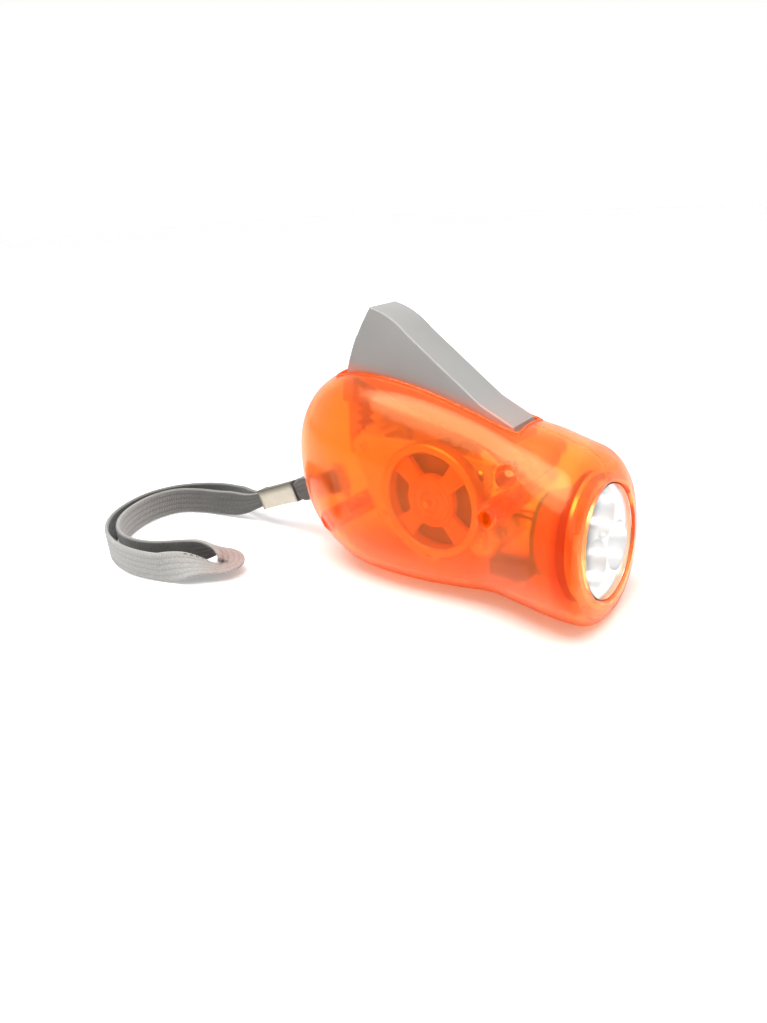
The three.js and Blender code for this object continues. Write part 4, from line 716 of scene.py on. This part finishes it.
def strap_crimp():
    """Folded metal sleeve with rolled edges and a pinched middle."""
    stain_start = 1.2
    bm = box((CRIMP_START, CRIMP_END), (-2.3, 2.3), (-3.6, 3.6))
    bmesh.ops.subdivide_edges(bm, edges=lengthwise(bm, 0, 1), cuts=19, use_grid_fill=True)
    bmesh.ops.bisect_plane(bm, geom=[*bm.verts, *bm.edges, *bm.faces], plane_co=(0, 0, -stain_start),
                           plane_no=(0, 0, 1))
    for v in bm.verts:
        share = (v.co.x - CRIMP_START) / (CRIMP_END - CRIMP_START)
        pinch = 1 - 0.1 * math.exp(-((share - 0.5) / 0.13) ** 2)
        flare = 1 + 0.05 * abs(2 * share - 1) ** 6
        v.co.y *= pinch * flare
        v.co.z *= flare
    rounded_edges(bm, lengthwise(bm, 0, 1), 0.7)
    stain = bm.verts.layers.float.new("stain")
    for v in bm.verts:
        from_end = min(v.co.x - CRIMP_START, CRIMP_END - v.co.x)
        v[stain] = max(1 - from_end / 1.2, between(0, (-v.co.z - stain_start) / 1.4, 1))
    piece = write("crimp_sleeve", bm, BENCH @ STRAP, smooth=40)
    return dress(piece, CRIMP, stands_for=["strap_crimp"])


strap, strap_points = wrist_strap()
tails = strap_tail()
crimp = strap_crimp()


# Housing
FACE_SHARE = 0.9
FACE_BEND = 1.28


def housing_form(inset):
    """Closed skin: a sphere's grid laid over the housing's outline, its last tenth over the front face."""
    bm = bmesh.new()
    bend = math.pi / 2 * FACE_BEND
    bmesh.ops.create_uvsphere(bm, u_segments=112, v_segments=104, radius=1)
    for v in bm.verts:
        share = math.acos(between(-1, -v.co.z, 1)) / math.pi
        turn = math.atan2(v.co.y, v.co.x)
        if share < FACE_SHARE:
            run = (1 - math.cos(share / FACE_SHARE * bend)) / (1 - math.cos(bend))
            x = inset + (BODY_LENGTH - 2 * inset) * run
            v.co = housing_point(x, turn, inset)
        else:
            v.co = housing_point(BODY_LENGTH - inset, turn, inset, 1 - (share - FACE_SHARE) / (1 - FACE_SHARE))
    return bm


def head_spun(profile, steps=96, offset=(0, 0, 0)):
    """Form spun about the lamp's axis or off it, with depths measured back from the front face."""
    bm = spun(profile, steps)
    bmesh.ops.transform(bm, matrix=HEAD @ Matrix.Translation(offset), verts=bm.verts)
    return bm


def slot_outline(grow):
    """Rounded rectangle of the lever slot, seen from above."""
    corner = SLOT_CORNER + grow
    rear, front, half = SLOT_REAR - grow + corner, SLOT_FRONT + grow - corner, SLOT_HALF + grow - corner
    centres = ((front, half), (rear, half), (rear, -half), (front, -half))
    return [point for k, centre in enumerate(centres)
            for point in arc(centre, corner, k * math.pi / 2, (k + 1) * math.pi / 2, 6)]


def roof_height(x, y):
    """Height of the outer skin above a point of the floor plan."""
    turn = halved(0, math.pi / 2, lambda turn: abs(housing_point(x, turn, 0).y) > abs(y))
    return housing_point(x, turn, 0).z


def side_reach(place):
    """Distance from the middle plane to the skin at x, z."""
    turn = halved(-math.pi / 2, math.pi / 2, lambda turn: housing_point(place[0], turn, 0).z < place[1])
    return abs(housing_point(place[0], turn, 0).y)


def lip_bead():
    """Rolled edge that follows the roof round the lever slot."""
    bm = bmesh.new()
    radius, sunk, spacing = 0.55, 0.25, 2.5
    outline = slot_outline(0.4)
    dense = []
    for a, b in zip(outline, outline[1:] + outline[:1]):
        steps = max(1, round(math.dist(a, b) / spacing))
        dense += [(a[0] + (b[0] - a[0]) * k / steps, a[1] + (b[1] - a[1]) * k / steps) for k in range(steps)]
    path = [Vector((x, y, roof_height(x, y) - sunk)) for x, y in dense]
    rings = []
    for i, point in enumerate(path):
        along = (path[(i + 1) % len(path)] - path[i - 1]).normalized()
        side = along.cross(Vector((0, 0, 1))).normalized()
        turn = Matrix((side, side.cross(along), along)).transposed().to_4x4()
        circle = bmesh.ops.create_circle(bm, segments=12, radius=radius,
                                         matrix=Matrix.Translation(point) @ turn)["verts"]
        rings.append({e for v in circle for e in v.link_edges})
    for a, b in zip(rings, rings[1:] + rings[:1]):
        bmesh.ops.bridge_loops(bm, edges=[*a, *b])
    return bm


def outward(side, near, far):
    """Span of y on one side of the middle plane."""
    return sorted((side * near, side * far))


def housing():
    hull = write("hull", housing_form(0))
    combine(hull, "DIFFERENCE", housing_form(WALL))
    combine(hull, "UNION", lip_bead())
    slot_low, slot_high = 44, 80
    lever_slot = prism([(x, y, slot_low) for x, y in slot_outline(0)], (0, 0, slot_high - slot_low))
    opening = [(0, -4), (17.3, -4), (17.3, -0.01), (16.9, 0.2), (16.6, 0.6), (16.6, 6), (0, 6)]
    under_table = box((-20, 140), (-40, 40), (-5, 0))
    strap_slot = box((-8, 4), (-1.95, 1.95), (-4.6, 4.6))
    bmesh.ops.transform(strap_slot, matrix=STRAP, verts=strap_slot.verts)
    switch_slot = box((72.2, 81.8), (-2.2, 2.2), (-4, 6))
    combine(hull, "DIFFERENCE", lever_slot, head_spun(opening), under_table, strap_slot, switch_slot)
    for side, name, node_name in ((-1, "shell_right", "right_shell"), (1, "shell_left", "left_shell")):
        half = hull.copy()
        half.data = hull.data.copy()
        scene.collection.objects.link(half)
        half.name = name
        combine(half, "INTERSECT", box((-20, 140), outward(side, SEAM, 60), (-5, 90)))
        for place, driven_from in ((FRONT_SCREW, -1), (REAR_SCREW, 1)):
            combine(half, "UNION", rod(place, SCREW_BOSS, outward(side, SEAM, side_reach(place) - 1)))
            if side == driven_from:
                combine(half, "DIFFERENCE", rod(place, SCREW_HEAD, outward(side, SCREW_SEAT, 40)))
            hole_end = 12 if side == driven_from else 9
            combine(half, "DIFFERENCE", rod(place, SCREW_HOLE, outward(side, 0, hole_end)))
        combine(half, "UNION", rod(PIVOT, PIVOT_BOSS, outward(side, PIVOT_BOSS_START, side_reach(PIVOT) - 1)))
        shade(half.data, 32)
        dress(half, CLEAR_ORANGE, stands_for=[node_name])
    bpy.data.objects.remove(hull)


# Lever
def lever_roof(inset, nose_end):
    """The lever's outline from its rear foot over the crest to the nose, drawn in by inset."""
    steps = 24
    rear_angle = math.pi - math.asin((LEVER_REAR_TOP - PIVOT[1]) / (LEVER_RADIUS - inset))
    rear = arc(PIVOT, LEVER_RADIUS - inset, rear_angle, LEVER_TOP_ANGLE, steps)
    top_x, top_z = rear[-1]
    slope = math.atan2(LEVER_SHOULDER[1] - LEVER_CREST[1], LEVER_SHOULDER[0] - LEVER_CREST[0])
    crest, shoulder, nose = ((x + inset * math.sin(slope), z - inset * math.cos(slope))
                             for x, z in (LEVER_CREST, LEVER_SHOULDER, LEVER_NOSE))
    bend = (top_x, top_z - inset), (top_x + 7.4, top_z - 1.5 - inset), crest
    crown = []
    for i in range(steps + 1):
        t = i / steps
        crown.append(tuple((1 - t) ** 2 * a + 2 * t * (1 - t) * b + t * t * c for a, b, c in zip(*bend)))
    nose_angle = math.atan2(LEVER_NOSE[1] - PIVOT[1], LEVER_NOSE[0] - PIVOT[0]) + math.radians(5)
    return [*rear[:-1], *crown, shoulder, nose, *arc(PIVOT, NOSE_RADIUS - inset, nose_angle, nose_end, 16)]


def lever():
    bm = slab([*lever_roof(0, math.radians(-110)), (72, 47)], -LEVER_HALF, LEVER_HALF)
    level_edges = [e for e in bm.edges if abs(e.verts[0].co.y - e.verts[1].co.y) < 0.01]
    rounded_edges(bm, level_edges, LEVER_ROUND, clamp_overlap=True)
    hood = write("lever_hood", bm)
    channel = lever_roof(LEVER_WALL, 0)
    inner = LEVER_HALF - LEVER_WALL
    combine(hood, "DIFFERENCE", slab([*channel, (channel[-1][0], -20), (channel[0][0], -20)], -inner, inner))
    skirt, web_end, low = (math.radians(angle) for angle in (150.1, 170, 186))
    foot, tip = 1.02, 0.42
    tooth = ((ARC_INNER, foot), (TOOTH_TIP, tip), (TOOTH_TIP, -tip), (ARC_INNER, -foot))
    teeth = [polar(PIVOT, radius, math.radians(FIRST_TOOTH - TOOTH_STEP * k + degrees))
             for k in range(-1, 7) for radius, degrees in tooth]
    rim = [*arc(PIVOT, LEVER_RADIUS, skirt, low, 30), polar(PIVOT, ARC_INNER, low), *teeth,
           polar(PIVOT, ARC_INNER, skirt)]
    web = [*arc(PIVOT, LEVER_RADIUS, skirt, web_end, 20), *arc(PIVOT, ARC_INNER, web_end, skirt, 20)]
    hubs = [rod(PIVOT, HUB_RADIUS, y) for y in ((-LEVER_HALF, -HUB_INNER), (HUB_INNER, LEVER_HALF))]
    combine(hood, "UNION", slab(rim, -ARC_HALF, ARC_HALF), slab(web, -LEVER_HALF, LEVER_HALF), *hubs)
    combine(hood, "DIFFERENCE", rod(PIVOT, PIN_HOLE, (-10, 10)))
    shade(hood.data, 32)
    dress(hood, GREY, body="lever", stands_for=["squeeze_lever"])


# Return spring: its coil and lower leg stay on the pin, and the leg under the lever's roof moves with the lever
def direction(angle):
    return Vector((math.cos(angle), 0, math.sin(angle)))


def bent_wire(name, radius, start, heading, moves):
    """Wire from straight runs (length,) and turns (radius, degrees, climb along y), in millimetres."""
    bm = bmesh.new()
    bmesh.ops.create_circle(bm, segments=12, radius=radius)
    bmesh.ops.rotate(bm, verts=bm.verts, cent=(0, 0, 0), matrix=Matrix.Rotation(math.pi / 2 - heading, 3, "Y"))
    bmesh.ops.translate(bm, verts=bm.verts, vec=start)
    point, ring = Vector(start), list(bm.edges)
    for move in moves:
        if len(move) == 1:
            grown = bmesh.ops.extrude_edge_only(bm, edges=ring)["geom"]
            step = direction(heading) * move[0]
            ends = {v for v in grown if isinstance(v, bmesh.types.BMVert)}
            bmesh.ops.translate(bm, verts=list(ends), vec=step)
            ring = [e for e in grown if isinstance(e, bmesh.types.BMEdge) and set(e.verts) <= ends]
            point += step
            continue
        bend, degrees, climb = move
        turn = math.radians(degrees)
        middle = point + direction(heading + math.copysign(math.pi / 2, turn)) * bend
        steps = max(4, round(abs(degrees) / 15))
        corners = list({v for e in ring for v in e.verts})
        last = bmesh.ops.spin(bm, geom=corners + ring, cent=middle, axis=(0, -1, 0), angle=turn, steps=steps,
                              dvec=(0, climb / steps, 0))["geom_last"]
        ring = [e for e in last if isinstance(e, bmesh.types.BMEdge)]
        point = middle + Matrix.Rotation(-turn, 3, "Y") @ (point - middle) + Vector((0, climb, 0))
        heading += turn
    bmesh.ops.remove_doubles(bm, verts=bm.verts, dist=1e-4)
    bmesh.ops.holes_fill(bm, edges=bm.edges)
    return write(name, bm, smooth=50)


def return_spring():
    coil, wire, leg_wire, pitch, turns = 3.1, 0.4, 0.35, 1.25, 5
    boss_gap = 0.3
    start = math.radians(86)
    to_boss = Vector(FRONT_SCREW) - Vector(PIVOT)
    seat = math.atan2(to_boss.y, to_boss.x) + math.acos((coil + wire + boss_gap + SCREW_BOSS) / to_boss.length)
    wound = start - seat + math.tau * turns
    length = pitch * wound / math.tau
    centre = Vector((PIVOT[0], 0, PIVOT[1]))
    begin = centre + direction(start) * coil + Vector((0, length / 2, 0))
    held = bent_wire("spring_coil", wire, begin, start - math.pi / 2,
                     [(coil, -math.degrees(wound), -length), (14,)])
    dress(held, STEEL, stands_for=["return_spring"])
    # The moving leg begins thinner inside the first turn, so that no gap opens when the lever is pressed
    tucked = math.radians(24)
    begin = centre + direction(start - tucked) * coil + Vector((0, length / 2 - 0.04, 0))
    leg = bent_wire("spring_leg", leg_wire, begin, start - tucked + math.pi / 2,
                    [(coil, 24, 0), (4.5,), (1.2, -46, 0), (10.5,)])
    dress(leg, STEEL, body="lever", stands_for=["return_spring"])


# Flywheel: a light cross with a ringed hub inside a heavy metal rim
def flywheel():
    low, high = FLYWHEEL_Y
    rim = FLYWHEEL_RADIUS - RIM_WIDTH
    back, front = high - 1.3, low + 1.3
    # The hub's rings by radius and depth, which is below zero where they stand proud of the arms
    rings = [(rim - 0.25, 0), (8.3, 0), (8.1, -0.35), (7.4, -0.35), (7.2, -0.1), (6.7, -0.1), (6.5, -0.55),
             (5.9, -0.55), (5.7, -0.25), (5.1, -0.25), (4.9, -0.7), (3.3, -0.7), (3.15, -0.2), (2.75, -0.2)]
    hub = [(0, high), (6.8, high), (6.8, back), (rim, back), (rim, front + 0.25),
           *((radius, front + depth) for radius, depth in rings),
           (2.6, low + 0.25), (2.35, low), (1.9, low), (1.7, low + 0.15), (0, low + 0.15)]
    cross = write("flywheel_cross", spun(hub), along_y(ROTOR))
    wide, hub_edge = math.radians(32), 7.9
    narrow, corner = wide * 0.86, 1.9
    for k in range(4):
        middle = k * math.pi / 2
        far = arc(ROTOR, rim - 0.1, middle - wide, middle + wide, 20)
        near = arc(ROTOR, hub_edge, middle + narrow, middle - narrow, 12)
        opening = slab([*far, *near], -30, 0)
        corners = [e for e in lengthwise(opening, 1, 1) if e.calc_face_angle() > math.radians(40)]
        rounded_edges(opening, corners, corner, 5)
        combine(cross, "DIFFERENCE", opening)
    shade(cross.data, 35)
    dress(cross, PEACH, body="rotor", stands_for=["flywheel"])
    outer = FLYWHEEL_RADIUS
    edge = [(rim, high), (outer - 0.5, high), (outer, high - 0.5), (outer, low + 0.5), (outer - 0.5, low),
            (rim + 0.5, low), (rim, low + 0.5)]
    ring = write("flywheel_ring", spun(edge), along_y(ROTOR))
    dress(ring, TURNED, body="rotor", stands_for=["flywheel"])
    # Partly a dark ring behind the cross, partly painted shade: a dark disc behind the openings darkens them
    plate = [(6.9, high - 0.5), (rim - 0.1, high - 0.5), (rim - 0.1, high), (6.9, high)]
    shade_disc = write("flywheel_shade_disc", spun(plate), along_y(ROTOR))
    dress(shade_disc, SHADE_DISC_METAL, body="rotor", stands_for=["flywheel"])


# Lamp head
def lamp_head():
    front = 0.4
    lens = head_spun([(0, front - 0.35), (8, front - 0.25), (14, front), (16.1, front + 0.25),
                      (16.4, front + 0.6), (16.4, 2.3), (LENS_RIM, 2.3), (LENS_RIM, 4.1), (0, 4.1)])
    window = write("lens_window", lens, smooth=40)
    dress(window, LENS, stands_for=["front_lens"])
    mirror = write("reflector_cups", head_spun([(0, 4.4), (LENS_RIM, 4.4), (LENS_RIM, 5.6), (16.3, 5.6),
                                                (12.4, 16.8), (0, 16.8)]))
    bowl = [(3.2 + 4.0 * math.sqrt(i / 12), 4.4 + 9.6 * (1 - i / 12)) for i in range(13)]
    for k in range(3):
        across, up = polar((0, 0), CUP_CIRCLE, math.pi / 2 + math.tau * k / 3)
        cup = head_spun([(0, 22), (3.2, 22), *bowl, (7.2, -2), (0, -2)], 48, (up, across, 0))
        combine(mirror, "DIFFERENCE", cup)
    shade(mirror.data, 35)
    holder = write("reflector_holder", head_spun([(16.36, 5.65), (16.9, 5.65), (16.9, 6.1), (15.9, 8.4),
                                                  (12.9, 17.2), (0, 17.2), (0, 16.85), (12.46, 16.85)]),
                   smooth=40)
    # The collar's dark red is partly the flange's edge and partly painted shade, in a band behind the lens
    collar = write("reflector_collar", head_spun([(16.95, 5.65), (18.4, 5.65), (LENS_RIM, 5.9), (LENS_RIM, 7.9),
                                                  (18.3, 8.2), (16.95, 8.2)]),
                   smooth=40)
    for piece, surface in ((mirror, CHROME), (holder, HOLDER), (collar, COLLAR_SHADE)):
        dress(piece, surface, stands_for=["reflector"])


lamp_head()
housing()
lever()
return_spring()
flywheel()

# Finishes of the carried solids
FINISHES = {
    "steel": STEEL, "grey_plastic": GREY, "white_plastic": WHITE, "dark_plastic": BLACK, "red_plastic": RED,
    "copper": COPPER, "clear_lens": LENS, "led_clear": LED, "mirror_plate": CHROME, "board": BOARD,
    "webbing": WEBBING, "clear_orange": CLEAR_ORANGE,
}
for part in frame["record"]["subparts"]:
    solid = frame["nodes"][part["node"]]
    solid.data.materials.clear()
    solid.data.materials.append(FINISHES[part["material_slot"]])


# Floor, world and lights
def seen_directly(tree):
    """Mask of rays from the camera, straight or through something clear, and the Light Path outputs."""
    rays = node(tree, "ShaderNodeLightPath").outputs
    return maths(tree, "MAXIMUM", rays["Is Camera Ray"], rays["Is Transmission Ray"]), rays


def studio():
    floor_bm = bmesh.new()
    bmesh.ops.create_grid(floor_bm, x_segments=1, y_segments=1, size=3)
    floor = write("table_top", floor_bm, Matrix())
    made, tree, shader = material("white_table")
    seen = seen_directly(tree)[0]
    reach = node(tree, "ShaderNodeVectorMath", {0: own_place(tree)}, operation="LENGTH").outputs["Value"]
    # Light that has come through the orange shell warms its shadow
    warm = spread(tree, reach, 0.045, 0.085, smooth=True)
    feed(tree, shader, {
        "Base Color": (0.86, 0.86, 0.86, 1),
        "Roughness": 0.6,
        "Emission Color": mix_color(tree, warm, (1, 0.62, 0.38, 1), (1, 1, 1, 1)),
        "Emission Strength": maths(tree, "MULTIPLY", seen, spread(tree, reach, 0.1, 0.5, 0.28, 0.6))})
    floor.data.materials.append(made)
    world = bpy.data.worlds.new("studio")
    scene.world = world
    world.use_nodes = True
    tree = world.node_tree
    tree.nodes.clear()
    straight, rays = seen_directly(tree)
    shiny = maths(tree, "MAXIMUM", straight, rays["Is Glossy Ray"])
    background = node(tree, "ShaderNodeBackground", {"Color": (1, 1, 1, 1),
                                                     "Strength": spread(tree, shiny, 0.0, 1.0, 0.3, 1.0)})
    node(tree, "ShaderNodeOutputWorld", {"Surface": background.outputs[0]})

    def area(name, place, size, power, target=(0, 0, 0.03), diffuse=True):
        lamp = bpy.data.objects.new(name, bpy.data.lights.new(name, "AREA"))
        lamp.data.shape = "ELLIPSE"
        lamp.data.size, lamp.data.size_y = size
        lamp.data.energy = power
        facing = (Vector(target) - Vector(place)).to_track_quat("-Z", "Y").to_matrix().to_4x4()
        lamp.matrix_world = Matrix.Translation(place) @ facing
        lamp.visible_diffuse = lamp.visible_transmission = diffuse
        scene.collection.objects.link(lamp)

    area("top_softbox", (0.08, -0.12, 0.6), (0.95, 0.7), 1.3)
    area("top_key", (0.0, -0.155, 0.585), (0.85, 0.38), 4.6)
    # Shows in reflections only, as the broad pale sheen along the shell
    area("sheen_strip", (0.0, -0.28, 0.56), (0.8, 0.52), 5.6, diffuse=False)
    area("side_softbox", (-0.35, -0.55, 0.35), (0.4, 0.4), 0.15)
    area("front_fill", (0.55, -0.12, 0.2), (0.3, 0.3), 0.5, target=(0.05, 0, 0.025))


studio()
scene.view_settings.view_transform = "Standard"
